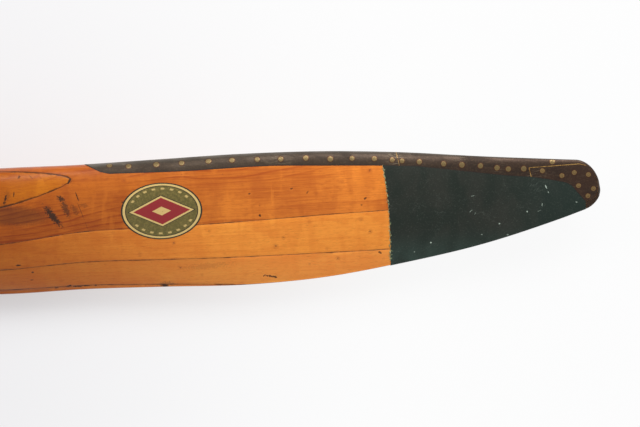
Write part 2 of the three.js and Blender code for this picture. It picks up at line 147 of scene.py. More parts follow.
def bands(rows: int, count: int, first: int = 0) -> list[tuple[int, ...]]:
    """The faces between neighbouring rings of points.

    Args:
        rows: number of rings.
        count: number of points in each.
        first: number of the first ring's first point.

    Returns:
        The corner numbers of each face.
    """
    faces = []
    for start in range(first, first + (rows - 1) * count, count):
        for i in range(count):
            j = (i + 1) % count
            faces.append((start + i, start + j, start + count + j, start + count + i))
    return faces


def capped(name: str, points: Sequence, count: int) -> Piece:
    """A closed rod through rings of points, with a flat face at either end.

    Args:
        name: the piece's name.
        points: all points in millimetres, ring by ring.
        count: number of points in each ring.

    Returns:
        The closed mesh object, its faces turned outwards.
    """
    ends = [range(count), range(len(points) - count, len(points))]
    return facing_out(mesh_object(name, points, [*ends, *bands(len(points) // count, count)]))


def facing_out(piece: Piece) -> Piece:
    """Turns every face of a closed piece outwards and returns the piece."""
    with reshaped(piece) as work:
        bmesh.ops.recalc_face_normals(work, faces=work.faces)
    return piece


def smooth_between(piece: Piece, angle: float) -> None:
    """Shades a piece smooth, except over edges sharper than an angle in degrees."""
    piece.data.polygons.foreach_set("use_smooth", [True] * len(piece.data.polygons))
    piece.data.set_sharp_from_angle(angle=math.radians(angle))


def evaluated(piece: Piece) -> Piece:
    """Makes a piece's modifiers part of its mesh.

    Args:
        piece: the mesh object.

    Returns:
        The same object.
    """
    graph = bpy.context.evaluated_depsgraph_get()
    made = bpy.data.meshes.new_from_object(piece.evaluated_get(graph))
    piece.modifiers.clear()
    old, piece.data = piece.data, made
    bpy.data.meshes.remove(old)
    made.name = piece.name
    return piece


def carve(piece: Piece, cut: Cut, *tools: Piece) -> Piece:
    """Cuts a closed piece with others.

    Args:
        piece: the solid that is changed.
        cut: what each tool does to it.
        *tools: the solids that it is cut with in turn, which stay as they are.

    Returns:
        The changed piece.
    """
    for tool in tools:
        modifier = piece.modifiers.new("carve", "BOOLEAN")
        modifier.operation = cut.value
        modifier.solver = "MANIFOLD"
        modifier.object = tool
        evaluated(piece)
    return piece


def eased(piece: Piece, width: float) -> Piece:
    """Takes the sharpness off a piece's edges.

    Args:
        piece: the mesh object.
        width: how wide the small bevel is, in millimetres.

    Returns:
        The same object.
    """
    modifier = piece.modifiers.new("ease", "BEVEL")
    modifier.width = width * MM
    modifier.segments = 2
    modifier.limit_method = "ANGLE"
    modifier.angle_limit = math.radians(35)
    return evaluated(piece)


def copy_of(piece: Piece, name: str) -> Piece:
    """A separate copy of a piece with a mesh of its own."""
    return placed(name, piece.data.copy())


def discard(*pieces: Piece) -> None:
    """Removes pieces that were only needed to cut others."""
    for mesh in [piece.data for piece in pieces]:
        bpy.data.meshes.remove(mesh)


def joined(name: str, pieces: Sequence[Piece]) -> Piece:
    """Puts several meshes into one object.

    Args:
        name: the new piece's name.
        pieces: the objects, which are used up.

    Returns:
        The new object.
    """
    work = bmesh.new()
    for piece in pieces:
        work.from_mesh(piece.data)
    mesh = bpy.data.meshes.new(name)
    work.to_mesh(mesh)
    work.free()
    discard(*pieces)
    return placed(name, mesh)


def renamed(piece: Piece, name: str) -> Piece:
    """Gives a piece and its mesh a name and returns the piece."""
    piece.name = piece.data.name = name
    return piece


def turned(name: str, profile: Sequence[Point2], sides: int = 96) -> Piece:
    """A piece turned on the lathe about the shaft axis.

    Args:
        name: the piece's name.
        profile: closed outline of [radius, height] corners, in millimetres.
        sides: number of flats round the piece.

    Returns:
        The closed mesh object.
    """
    count = len(profile)
    points = [(r * x, r * y, z) for x, y in circle(1.0, sides) for r, z in profile]
    faces = []
    for side in range(sides):
        here, there = side * count, (side + 1) % sides * count
        for i in range(count):
            j = (i + 1) % count
            faces.append((here + i, there + i, there + j, here + j))
    made = mesh_object(name, points, faces)
    with reshaped(made) as work:
        bmesh.ops.remove_doubles(work, verts=work.verts, dist=1e-7)
        bmesh.ops.dissolve_degenerate(work, edges=work.edges, dist=1e-7)
        bmesh.ops.recalc_face_normals(work, faces=work.faces)
    return made


def prism(name: str, outline: Sequence[Point2], low: float = BELOW, high: float = ABOVE) -> Piece:
    """An upright solid over a closed outline, from one height to another."""
    return capped(name, [(x, y, z) for z in (low, high) for x, y in outline], len(outline))


def circle(radius: float, sides: int, centre: Point2 = (0.0, 0.0), start: float = 0.0) -> list[Point2]:
    """The corners of a regular polygon, the first one at an angle in radians."""
    angles = [start + 2 * math.pi * i / sides for i in range(sides)]
    return [(centre[0] + radius * math.cos(a), centre[1] + radius * math.sin(a)) for a in angles]


def box(x0: float, x1: float, half: float) -> list[Point2]:
    """The corners of a rectangle from x0 to x1, with the x axis along its middle."""
    return [(x0, -half), (x1, -half), (x1, half), (x0, half)]


def curve_through(points: Sequence[Point2], steps: int) -> list[Point2]:
    """A smooth curve through a few points.

    Args:
        points: the points, at least two.
        steps: how many short lines replace each stretch.

    Returns:
        Points on the curve, both ends included.
    """
    known = np.array(points, float)
    padded = np.vstack([2 * known[0] - known[1], known, 2 * known[-1] - known[-2]])
    line = []
    for i in range(1, len(padded) - 2):
        a, b, c, d = padded[i - 1 : i + 3]
        square, cube = 2 * a - 5 * b + 4 * c - d, 3 * b - a - 3 * c + d
        line += [0.5 * (2 * b + (c - a) * t + square * t**2 + cube * t**3) for t in np.arange(steps) / steps]
    return [tuple(point) for point in [*line, padded[-2]]]


def separated(piece: Piece) -> list[Piece]:
    """Splits a piece into its unconnected bodies.

    Args:
        piece: the mesh object, which is used up.

    Returns:
        One object for each body.
    """
    bodies, made = [], []
    with reshaped(piece) as work:
        left = set(work.verts)
        while left:
            found, edge = set(), [left.pop()]
            while edge:
                vertex = edge.pop()
                found.add(vertex.index)
                near = {link.other_vert(vertex) for link in vertex.link_edges} & left
                left -= near
                edge += near
            bodies.append(found)
    for number, body in enumerate(bodies):
        made.append(copy_of(piece, f"{piece.name}_body_{number}"))
        with reshaped(made[-1]) as work:
            unwanted = [vertex for vertex in work.verts if vertex.index not in body]
            bmesh.ops.delete(work, geom=unwanted, context="VERTS")
    discard(piece)
    return made


def volume(piece: Piece) -> float:
    """How much room a closed piece fills."""
    with reshaped(piece) as work:
        return work.calc_volume()


def middle_height(piece: Piece) -> float:
    """The mean height of a piece's points."""
    return sum(vertex.co.z for vertex in piece.data.vertices) / len(piece.data.vertices)


def largest(piece: Piece) -> Piece:
    """Keeps only the largest body of a piece: cutting a thin edge can leave crumbs beside it.

    Args:
        piece: the mesh object, which is used up.

    Returns:
        The largest body, under the piece's name.
    """
    name = piece.name
    bodies = sorted(separated(piece), key=volume, reverse=True)
    discard(*bodies[1:])
    return renamed(bodies[0], name)


def tube(name: str, line: Sequence[Vector], radius: float, sides: int, smooth_steps: int = 1) -> Piece:
    """A round wire or thread along a line.

    Args:
        name: the piece's name.
        line: points that it follows, in millimetres.
        radius: half its thickness.
        sides: number of flats round it.
        smooth_steps: how many short lengths replace each stretch between two points.

    Returns:
        The closed mesh object.
    """
    path = [Vector(point) for point in line]
    if smooth_steps > 1:
        xy = curve_through([(p[0], p[1]) for p in path], smooth_steps)
        xz = curve_through([(p[0], p[2]) for p in path], smooth_steps)
        path = [Vector((*a, b[1])) for a, b in zip(xy, xz)]
    side = (path[1] - path[0]).normalized().orthogonal().normalized()
    points = []
    for i, point in enumerate(path):
        ahead = (path[min(i + 1, len(path) - 1)] - path[max(i - 1, 0)]).normalized()
        side = (side - ahead * side.dot(ahead)).normalized()
        over = ahead.cross(side)
        points += [point + (side * x + over * y) * radius for x, y in circle(1.0, sides)]
    return capped(name, points, sides)


def threaded(name: str, radius: float, pitch: float, depth: float, low: float, high: float, sides: int) -> Piece:
    """An upright rod with a helical screw thread.

    Args:
        name: the piece's name.
        radius: radius over the thread's crests.
        pitch: rise of one turn.
        depth: depth of the thread.
        low: height of its bottom.
        high: height of its top.
        sides: number of flats round it.

    Returns:
        The closed mesh object.
    """
    points = []
    for z in np.linspace(low, high, math.ceil((high - low) / pitch * 6) + 1):
        for k, (x, y) in enumerate(circle(1.0, sides)):
            phase = ((z - low) / pitch - k / sides) % 1.0
            crest = min(max(1.5 - 3.4 * abs(phase - 0.5), 0.0), 1.0)
            reach = radius - depth * (1 - crest)
            points.append((reach * x, reach * y, z))
    return capped(name, points, sides)


# ---------------------------------------------------------------- blade shape


@dataclass(frozen=True)
class Station:
    """One row of the blade's table, at a distance x from the shaft axis, in millimetres and degrees."""

    x: float
    lead: float
    trail: float
    rise: float
    angle: float
    thick: float
    belly: float
    nose: float
    tail: float


@dataclass(frozen=True)
class BladeShape:
    """The propeller's wooden shape: a round boss that flows out into two twisted, tapering blades."""

    tip: float = 1067.0
    tip_y: float = 2.8
    tip_round: tuple[float, float] = (27.0, 17.0)
    tip_thinning: float = 3.0
    boss_radius: float = 101.0
    boss_fillet: float = 60.0
    boss_corner: float = 9.0
    boss_squareness: float = 0.25
    outline_fillet: float = 26.0
    wood_rear: float = 21.8
    board_pitch: float = 22.2
    boards: int = 5
    camber_rise: float = 0.45
    camber_fall: float = 0.85
    nose_reach: float = 0.45
    tail_reach: float = 0.5
    stations: tuple[Station, ...] = tuple(Station(*row) for row in (
        (0, 40, -40, 28, 25, 56, 26, 16, 9),
        (90, 49, -54, 29, 24.5, 55, 24, 16, 9),
        (150, 50.5, -59, 31.5, 24, 52.5, 18, 15, 8.5),
        (210, 54.5, -68, 35, 23, 50, 10, 14.5, 8),
        (290, 60, -79, 38.5, 21.5, 46, 3, 14, 7),
        (377, 62, -83.2, 40.7, 20.2, 40.3, 0, 11, 5.5),
        (470, 61.5, -82, 42.4, 20, 32, 0, 8.8, 4.5),
        (563, 63, -83.8, 46.4, 20.4, 26.9, 0, 6.2, 3.8),
        (655, 64.5, -86, 49.1, 19.9, 23, 0, 6, 3.4),
        (748, 63, -81.5, 50.7, 18.9, 20, 0, 5.7, 3.2),
        (839, 57.4, -68.9, 52.1, 17.3, 17.3, 0, 4.9, 3),
        (931, 48.2, -51.7, 52.8, 15.2, 11.6, 0, 4.5, 2.8),
        (1023, 40.2, -26.4, 53.2, 13.5, 7.6, 0, 4.2, 2.6),
        (1067, 36.9, -10.4, 53.2, 13, 5.6, 0, 4, 2.5),
    ))
    front_points: int = 33
    rear_points: int = 17
    edge_points: int = 9

    @property
    def wood_depth(self) -> float:
        """Thickness of the boss, front to rear."""
        return self.boards * self.board_pitch

    def column(self, name: str, x: float) -> float:
        """One column of the station table, on a smooth curve through the rows.

        Args:
            name: the column's name.
            x: distance from the shaft axis.

        Returns:
            The column's value at x.
        """
        rows = self.stations
        last = len(rows) - 1
        i = 0
        while i < last - 1 and rows[i + 1].x < x:
            i += 1

        def slope(k: int) -> float:
            """How steeply the column changes at row k."""
            before, after = rows[max(k - 1, 0)], rows[min(k + 1, last)]
            return (getattr(after, name) - getattr(before, name)) / (after.x - before.x)

        span = rows[i + 1].x - rows[i].x
        t = (x - rows[i].x) / span
        start, end = getattr(rows[i], name), getattr(rows[i + 1], name)
        ends = start * (1 + 2 * t) * (1 - t) ** 2 + end * t * t * (3 - 2 * t)
        return ends + span * (slope(i) * t * (1 - t) ** 2 - slope(i + 1) * t * t * (1 - t))

    def edge(self, name: str, x: float) -> float:
        """How far an edge lies from the blade's centre line.

        Args:
            name: "lead" or "trail", the edge.
            x: distance from the shaft axis.

        Returns:
            The edge's y.
        """
        side = 1 if name == "lead" else -1
        own = side * self.column(name, x)
        boss = math.sqrt(max(self.boss_radius**2 - x * x, 0))
        closeness = max(self.outline_fillet - abs(own - boss), 0) / self.outline_fillet
        plain = side * (max(own, boss) + closeness**2 * self.outline_fillet / 4)
        rounding = self.tip_round[0 if side > 0 else 1]
        into = max(x - (self.tip - rounding), 0) / rounding
        return self.tip_y + (plain - self.tip_y) * math.sqrt(max(1 - into * into, 0))

    def at(self, x: float) -> Station:
        """The blade's sizes at one place, with the tip's rounding in them.

        Args:
            x: distance from the shaft axis.

        Returns:
            The whole station.
        """
        values = {name: self.column(name, x) for name in ("rise", "angle", "thick", "belly", "nose", "tail")}
        slim = min(1.0, math.sqrt(max(self.tip - x, 0) / self.tip_thinning))
        for name in ("thick", "nose", "tail"):
            values[name] *= slim
        return Station(x=x, lead=self.edge("lead", x), trail=self.edge("trail", x), **values)

    def camber(self, v: np.ndarray) -> np.ndarray:
        """Fullness of the front, from 0 to 1.

        Args:
            v: fractions of the width behind the leading edge.

        Returns:
            The fullness at each.
        """
        crest = self.camber_rise / (self.camber_rise + self.camber_fall)
        top = crest**self.camber_rise * (1 - crest) ** self.camber_fall
        return np.maximum(v, 0) ** self.camber_rise * np.maximum(1 - v, 0) ** self.camber_fall / top

    def face_plane(self, at: Station, v: np.ndarray) -> np.ndarray:
        """Height of the flat rear face, carried on to both edges."""
        return at.rise + (at.lead + (at.trail - at.lead) * v) * math.tan(math.radians(at.angle))

    def height(self, at: Station, v: np.ndarray, side: Side) -> np.ndarray:
        """Height of the bare blade's surface above the rear of the boss.

        Args:
            at: the blade's sizes there.
            v: fractions of the width behind the leading edge.
            side: which face.

        Returns:
            The height at each fraction.
        """
        v = np.asarray(v, float)
        if side is Side.REAR:
            return self.face_plane(at, v) - at.belly * 4 * v * (1 - v)
        crown = (at.thick - at.nose / 2) * self.camber(v) / math.cos(math.radians(at.angle))
        return self.face_plane(at, v) + crown + at.nose * (1 - v) ** 3 + at.tail * v

    @staticmethod
    def spread(count: int) -> np.ndarray:
        """Numbers from 0 to 1 that lie closer together towards both ends."""
        return (1 - np.cos(np.linspace(0, math.pi, count))) / 2

    def edge_turn(self) -> np.ndarray:
        """Angles of the points round an edge, between 0 and half a turn."""
        return math.pi * np.arange(1, self.edge_points + 1) / (self.edge_points + 1)

    def blade_ring(self, at: Station) -> np.ndarray:
        """A section of the bare blade: front, trailing edge, rear, leading edge.

        Args:
            at: the blade's sizes there.

        Returns:
            Its [y, z] points.
        """
        width = at.lead - at.trail
        nose_v, tail_v = self.nose_reach * at.nose / width, self.tail_reach * at.tail / width

        def across(v: np.ndarray) -> np.ndarray:
            """Distance from the centre line at fractions v of the width."""
            return at.lead + (at.trail - at.lead) * v

        front_v = nose_v + (1 - tail_v - nose_v) * self.spread(self.front_points)
        rear_v = (nose_v + (1 - tail_v - nose_v) * self.spread(self.rear_points))[::-1]
        turn = self.edge_turn()
        high, low = (float(self.height(at, 1 - tail_v, side)) for side in Side)
        tail_y = across(1 - tail_v) - np.sin(turn) * self.tail_reach * at.tail
        tail_z = low + (high - low) * (1 + np.cos(turn)) / 2
        middle = (self.edge_points - 1) / 2
        steps = np.arange(self.edge_points) - middle
        turn = math.pi / 2 * np.abs(steps) / (middle + 1)
        nose_line = nose_v * (1 - np.cos(turn))
        under = self.face_plane(at, nose_line) + at.nose * (1 - np.sin(turn))
        nose_z = np.where(steps > 0, self.height(at, nose_line, Side.FRONT), under)
        front_z, rear_z = self.height(at, front_v, Side.FRONT), self.height(at, rear_v, Side.REAR)
        y = np.concatenate([across(front_v), tail_y, across(rear_v), across(nose_line)])
        return np.column_stack([y, np.concatenate([front_z, tail_z, rear_z, nose_z])])

    def boss_ring(self, at: Station) -> np.ndarray:
        """A section of the round boss, its points in the same order as the blade's.

        Args:
            at: the blade's sizes there.

        Returns:
            Its [y, z] points.
        """
        lead, trail = at.lead - self.boss_corner, at.trail + self.boss_corner
        front, rear = self.spread(self.front_points), self.spread(self.rear_points)
        turn = self.edge_turn()
        reach = self.boss_corner * np.sin(turn) ** self.boss_squareness
        square = np.sign(np.cos(turn)) * np.abs(np.cos(turn)) ** self.boss_squareness
        drop = self.wood_depth / 2 * (1 + square)
        y = [lead + (trail - lead) * front, trail - reach, trail + (lead - trail) * rear, lead + reach]
        z = [np.full(self.front_points, self.wood_depth), drop, np.zeros(self.rear_points), drop[::-1]]
        return np.column_stack([np.concatenate(y), np.concatenate(z)])

    def section(self, x: float) -> np.ndarray:
        """One cross-section of blade a, boss included.

        Args:
            x: distance from the shaft axis.

        Returns:
            Its points in the frame's millimetres.
        """
        at = self.at(x)
        blade, boss = self.blade_ring(at), self.boss_ring(at)
        away = np.clip((np.hypot(x, boss[:, 0]) - self.boss_radius) / self.boss_fillet, 0, 1)
        share = (away**2 * (3 - 2 * away))[:, None]
        ring = boss + (blade - boss) * share
        return np.column_stack([np.full(len(ring), x), ring[:, 0], ring[:, 1] + self.wood_rear])

    def section_places(self) -> list[float]:
        """Where the fine cross-sections stand: close together round the boss and towards the tip.

        Returns:
            Their distances from the shaft axis.
        """
        runs = ((0, 60, 12.0), (60, 180, 3.0), (180, 1020, 6.0), (1020, 1056, 3.0))
        places = [x for low, high, step in runs for x in np.arange(low, high, step)]
        left = self.tip - runs[-1][1]
        places += [self.tip - left * math.cos(turn) for turn in np.linspace(0, math.pi / 2, 13)[:-1]]
        return [*places, self.tip - 0.02]

    def solid(self, name: str, outset: float, inboard: float | None = None) -> Piece:
        """The whole shape, tip to tip, or only the outer part of blade a.

        Args:
            name: the mesh object's name.
            outset: how far every face is moved out, in millimetres.
            inboard: where blade a's outer part begins; None for the whole shape.

        Returns:
            The closed mesh object.
        """
        grid = [self.section(x) for x in self.section_places() if inboard is None or x >= inboard]
        if inboard is None:
            order = [(self.front_points - 1 - i) % len(grid[0]) for i in range(len(grid[0]))]
            grid = [ring[order] * (-1, -1, 1) for ring in grid[:0:-1]] + grid
        grid = np.array(grid)
        if outset:
            grid = grid + outset * self.normals(grid)
        rows, count = grid.shape[:2]
        caps = [range(count)[::-1], range((rows - 1) * count, rows * count)]
        return mesh_object(name, grid.reshape(-1, 3), [*bands(rows, count), *caps])

    @staticmethod
    def normals(grid: np.ndarray) -> np.ndarray:
        """Outward directions at the points of a grid of sections.

        Args:
            grid: the sections' points.

        Returns:
            A unit vector for each point.
        """
        along = np.gradient(grid, axis=0)
        around = np.roll(grid, -1, axis=1) - np.roll(grid, 1, axis=1)
        out = np.cross(around, along)
        return out / np.maximum(np.linalg.norm(out, axis=2, keepdims=True), 1e-9)


BLADE = BladeShape()


# ---------------------------------------------------------------- shader nodes


class Nodes:
    """Adds shader nodes to a tree, sets their sockets and links them."""

    def __init__(self, tree: bpy.types.NodeTree) -> None:
        """Takes the tree to add to."""
        self.tree = tree

    def put(self, socket: Socket, value: object) -> None:
        """Links a socket to another one, or sets its own value.

        Args:
            socket: the input.
            value: another node's output, a number, a vector or a colour.
        """
        if isinstance(value, bpy.types.NodeSocket):
            self.tree.links.new(value, socket)
        else:
            socket.default_value = (*value, 1.0) if socket.type == "RGBA" else value

    def add(self, kind: str, sockets: dict | None = None, **settings: object) -> bpy.types.Node:
        """Adds a node.

        Args:
            kind: the node's type, without its first word "ShaderNode".
            sockets: input names or numbers, with a value or another node's output for each.
            **settings: the node's own settings.

        Returns:
            The node.
        """
        node = self.tree.nodes.new("ShaderNode" + kind)
        for name, value in settings.items():
            setattr(node, name, value)
        for key, value in (sockets or {}).items():
            self.put(node.inputs[key], value)
        return node

    def maths(self, operation: str, *values: object) -> Socket:
        """The result of one Math node."""
        return self.add("Math", dict(enumerate(values)), operation=operation).outputs[0]

    def times(self, *values: object) -> Socket:
        """Values multiplied together."""
        return reduce(lambda one, other: self.maths("MULTIPLY", one, other), values)

    def plus(self, *values: object) -> Socket:
        """Values added together."""
        return reduce(lambda one, other: self.maths("ADD", one, other), values)

    def most(self, *values: object) -> Socket:
        """The greatest of some values."""
        return reduce(lambda one, other: self.maths("MAXIMUM", one, other), values)

    def minus(self, value: object, less: object) -> Socket:
        """One value taken from another."""
        return self.maths("SUBTRACT", value, less)

    def far(self, *values: object) -> Socket:
        """Distance from the middle, from the distances along each direction."""
        return self.maths("SQRT", self.plus(*[self.maths("POWER", value, 2.0) for value in values]))

    def vector(self, operation: str, *values: object) -> Socket:
        """The vector that comes out of one Vector Math node."""
        return self.add("VectorMath", dict(enumerate(values)), operation=operation).outputs["Vector"]

    def long(self, place: Socket, x: float, y: float = 1.0, z: float = 1.0) -> Socket:
        """A place squeezed along each axis, which stretches a pattern there."""
        return self.vector("MULTIPLY", place, (x, y, z))

    def parts(self, vector: Socket) -> tuple[Socket, Socket, Socket]:
        """The X, Y and Z of a vector."""
        return tuple(self.add("SeparateXYZ", {0: vector}).outputs)

    def joined(self, x: object, y: object, z: object = 0.0) -> Socket:
        """A vector made of three numbers."""
        return self.add("CombineXYZ", {0: x, 1: y, 2: z}).outputs[0]

    def ease(self, value: Socket, low: object, high: object, start: float = 0.0, end: float = 1.0) -> Socket:
        """A soft step from start to end while the value goes from low to high."""
        sockets = {"Value": value, "From Min": low, "From Max": high, "To Min": start, "To Max": end}
        return self.add("MapRange", sockets, interpolation_type="SMOOTHSTEP").outputs["Result"]

    def mix(self, share: object, under: object, over: object, how: str = "MIX") -> Socket:
        """One colour laid over another."""
        return self.add("Mix", {0: share, 6: under, 7: over}, data_type="RGBA", blend_type=how).outputs[2]

    def layered(self, colour: object, *layers: tuple) -> Socket:
        """Colours laid one over another.

        Args:
            colour: the lowest one.
            *layers: the mask and the colour of each layer, with a fixed share of the mask where there is one.

        Returns:
            The finished colour.
        """
        for mask, over, *share in layers:
            colour = self.mix(self.times(mask, *share), colour, over)
        return colour

    def noise(self, place: Socket, scale: object, detail: float = 2.0, bend: float = 0.0) -> Socket:
        """Cloudy noise from 0 to 1.

        Args:
            place: where on the surface, in millimetres.
            scale: clouds per millimetre.
            detail: how many finer layers lie over the first.
            bend: how much the pattern is stirred.

        Returns:
            The noise value.
        """
        sockets = {"Vector": place, "Scale": scale, "Detail": detail, "Distortion": bend}
        return self.add("TexNoise", sockets).outputs["Fac"]

    def place(self) -> Socket:
        """Where on the piece, in the piece's own millimetres."""
        return self.long(self.add("TexCoord").outputs["Object"], 1000.0, 1000.0, 1000.0)

    def facing(self, axis: int) -> Socket:
        """How much the surface faces along one axis, from -1 to 1."""
        return self.parts(self.add("TexCoord").outputs["Normal"])[axis]

    def bump(self, height: Socket, depth: float, under: Socket | None = None) -> Socket:
        """A normal for fine relief.

        Args:
            height: the relief, from 0 to 1.
            depth: how many millimetres high 1 is.
            under: the normal of coarser relief to lay it on.

        Returns:
            The normal.
        """
        sockets = {"Height": height, "Distance": depth * MM}
        if under is not None:
            sockets["Normal"] = under
        return self.add("Bump", sockets).outputs["Normal"]


class Effect:
    """A surface effect that several materials use: a node group that is built once."""

    name = "effect"
    inputs: Sockets = {}
    outputs: tuple[str, ...] = ()
    built: dict[str, bpy.types.NodeTree] = {}

    def build(self, nodes: Nodes, place: Socket, given: dict[str, Socket]) -> tuple[Socket, ...]:
        """Makes the effect's nodes.

        Args:
            nodes: the group's nodes.
            place: where on the piece.
            given: its inputs, by name.

        Returns:
            What comes out, in the order of the group's outputs.
        """
        raise NotImplementedError

    def tree(self) -> bpy.types.NodeTree:
        """The node group, made when it is first asked for.

        Returns:
            The group's tree.
        """
        if self.name in self.built:
            return self.built[self.name]
        tree = self.built[self.name] = bpy.data.node_groups.new(self.name, "ShaderNodeTree")
        for label, default in {"place": (0.0, 0.0, 0.0), **self.inputs}.items():
            kind = "NodeSocketVector" if label == "place" else "NodeSocketFloat"
            tree.interface.new_socket(label, in_out="INPUT", socket_type=kind).default_value = default
        for label in self.outputs:
            tree.interface.new_socket(label, in_out="OUTPUT", socket_type="NodeSocketFloat")
        given = {socket.name: socket for socket in tree.nodes.new("NodeGroupInput").outputs}
        results = self.build(Nodes(tree), given["place"], given)
        end = tree.nodes.new("NodeGroupOutput")
        for label, result in zip(self.outputs, results):
            tree.links.new(result, end.inputs[label])
        return tree

    def lay(self, nodes: Nodes, **values: object) -> tuple[Socket, ...]:
        """Places the group in a material.

        Args:
            nodes: the material's nodes.
            **values: the group's inputs, by name.

        Returns:
            The group's outputs in order.
        """
        node = nodes.add("Group", node_tree=self.tree())
        for label, value in values.items():
            nodes.put(node.inputs[label], value)
        return tuple(node.outputs[label] for label in self.outputs)


class BirchFigure(Effect):
    """Growth rings, fibre, pores and clouds of colour in a sawn birch board."""

    name = "birch_figure"
    inputs = {"pith_y": 0.0, "pith_z": -160.0, "ring": 5.0, "shift": 0.0}
    outputs = ("rings", "fibre", "pores", "clouds")

    def build(self, nodes: Nodes, place: Socket, given: dict[str, Socket]) -> tuple[Socket, ...]:
        """Makes rings round a pith line that sways along the board, and patterns drawn out along it.

        Args:
            nodes: the group's nodes.
            place: where on the piece.
            given: its inputs, by name.

        Returns:
            The rings, the fibre, the pores and the clouds.
        """
        moved = nodes.vector("ADD", place, nodes.joined(given["shift"], 0.0))
        _, y, z = nodes.parts(place)
        drawn = nodes.long(moved, 0.12)
        radius = nodes.far(nodes.minus(y, given["pith_y"]), nodes.minus(z, given["pith_z"]))
        radius = nodes.plus(radius, nodes.times(nodes.noise(nodes.long(moved, 0.3), 0.011), 26.0))
        radius = nodes.plus(radius, nodes.times(nodes.noise(drawn, 0.09), 2.2))
        ring = nodes.maths("FRACT", nodes.maths("DIVIDE", radius, given["ring"]))
        late = nodes.times(nodes.ease(ring, 0.55, 0.94), nodes.ease(ring, 0.94, 1.0, 1.0, 0.0))
        broad = nodes.times(nodes.ease(ring, 0.0, 0.9), 0.3)
        fade = nodes.ease(nodes.noise(drawn, 0.03), 0.4, 0.62, 0.1, 1.0)
        fibre = nodes.noise(nodes.long(moved, 0.02), 0.7, 6.0)
        pores = nodes.ease(nodes.noise(nodes.long(moved, 0.07), 2.2), 0.56, 0.72)
        clouds = nodes.noise(nodes.long(moved, 0.4), 0.022, 5.0, 0.3)
        return nodes.times(nodes.most(late, broad), fade), fibre, pores, clouds


class GlueLines(Effect):
    """The joints between the boards of the laminated blank, found from the height in the blank."""

    name = "glue_lines"
    inputs = {"up": 1.0, "line": 0.5, "halo": 3.5, "faint": 0.45}
    outputs = ("line", "halo")

    def build(self, nodes: Nodes, place: Socket, given: dict[str, Socket]) -> tuple[Socket, ...]:
        """Makes lines of even width on the surface, however steeply it cuts the joints.

        Args:
            nodes: the group's nodes.
            place: where on the piece.
            given: its inputs, by name.

        Returns:
            The dark line and the stain beside it.
        """
        step = nodes.maths("DIVIDE", nodes.minus(nodes.parts(place)[2], BLADE.wood_rear), BLADE.board_pitch)
        away = nodes.times(nodes.maths("PINGPONG", step, 0.5), BLADE.board_pitch)
        steep = nodes.maths("SQRT", nodes.minus(1.0, nodes.maths("POWER", given["up"], 2.0)))
        away = nodes.maths("DIVIDE", away, nodes.most(steep, 0.04))
        inside = nodes.times(nodes.ease(step, 0.4, 0.5), nodes.ease(step, 4.5, 4.6, 1.0, 0.0))
        width = nodes.times(given["line"], nodes.ease(nodes.noise(place, 0.12, 3.0), 0.3, 0.7, 0.6, 1.5))
        line = nodes.ease(away, nodes.times(width, 0.5), nodes.times(width, 1.5), 1.0, 0.0)
        patches = nodes.noise(nodes.long(place, 1.0, 0.3, 0.3), 0.035, 3.0)
        line = nodes.times(line, nodes.ease(patches, 0.36, 0.58, given["faint"], 1.0))
        halo = nodes.ease(away, 0.0, given["halo"], 1.0, 0.0)
        return nodes.times(line, inside), nodes.times(halo, inside)


class Specks(Effect):
    """Small scattered knocks, chips or pits of uneven size and outline."""

    name = "specks"
    inputs = {"spacing": 20.0, "size": 1.2, "share": 0.3, "ragged": 0.5}
    outputs = ("mask", "halo")

    def build(self, nodes: Nodes, place: Socket, given: dict[str, Socket]) -> tuple[Socket, ...]:
        """Makes one speck in each chosen cell of an uneven net.

        Args:
            nodes: the group's nodes.
            place: where on the piece.
            given: its inputs, by name.

        Returns:
            The specks and a wider stain round each.
        """
        stir = nodes.add("TexNoise", {"Vector": place, "Scale": 0.7, "Detail": 3.0}).outputs["Color"]
        stir = nodes.vector("SUBTRACT", stir, (0.5, 0.5, 0.5))
        reach = nodes.times(given["ragged"], given["size"], 4.0)
        moved = nodes.vector("ADD", place, nodes.vector("MULTIPLY", stir, nodes.joined(reach, reach, reach)))
        scale = nodes.maths("DIVIDE", 1.0, given["spacing"])
        cells = nodes.add("TexVoronoi", {"Vector": moved, "Scale": scale, "Randomness": 1.0})
        red, green, _ = nodes.parts(cells.outputs["Color"])
        away = nodes.times(cells.outputs["Distance"], given["spacing"])
        size = nodes.times(given["size"], nodes.ease(green, 0.0, 1.0, 0.35, 1.3))
        chosen = nodes.maths("LESS_THAN", red, given["share"])
        mask = nodes.ease(away, nodes.times(size, 0.55), size, 1.0, 0.0)
        halo = nodes.ease(away, size, nodes.times(size, 3.0), 1.0, 0.0)
        return nodes.times(mask, chosen), nodes.times(halo, chosen)


class Scratches(Effect):
    """Fine scuffs, mostly along the blade."""

    name = "scratches"
    inputs = {"turn": 0.2, "spacing": 6.0, "thin": 0.012}
    outputs = ("mask",)

    def build(self, nodes: Nodes, place: Socket, given: dict[str, Socket]) -> tuple[Socket, ...]:
        """Makes two crossing sets of scuffs in patches.

        Args:
            nodes: the group's nodes.
            place: where on the piece.
            given: its inputs, by name.

        Returns:
            The scuffs' mask.
        """
        sets = []
        scale = nodes.maths("DIVIDE", 1.0, given["spacing"])
        for side in (1.0, -1.6):
            angle = nodes.times(given["turn"], side)
            tilted = nodes.add("VectorRotate", {"Vector": place, "Angle": angle}).outputs[0]
            noise = nodes.noise(nodes.long(tilted, 0.03), scale, 4.0)
            line = nodes.maths("ABSOLUTE", nodes.minus(noise, 0.5))
            sets.append(nodes.ease(line, 0.0, given["thin"], 1.0, 0.0))
        return (nodes.times(nodes.most(*sets), nodes.ease(nodes.noise(place, 0.03, 3.0), 0.5, 0.68)),)


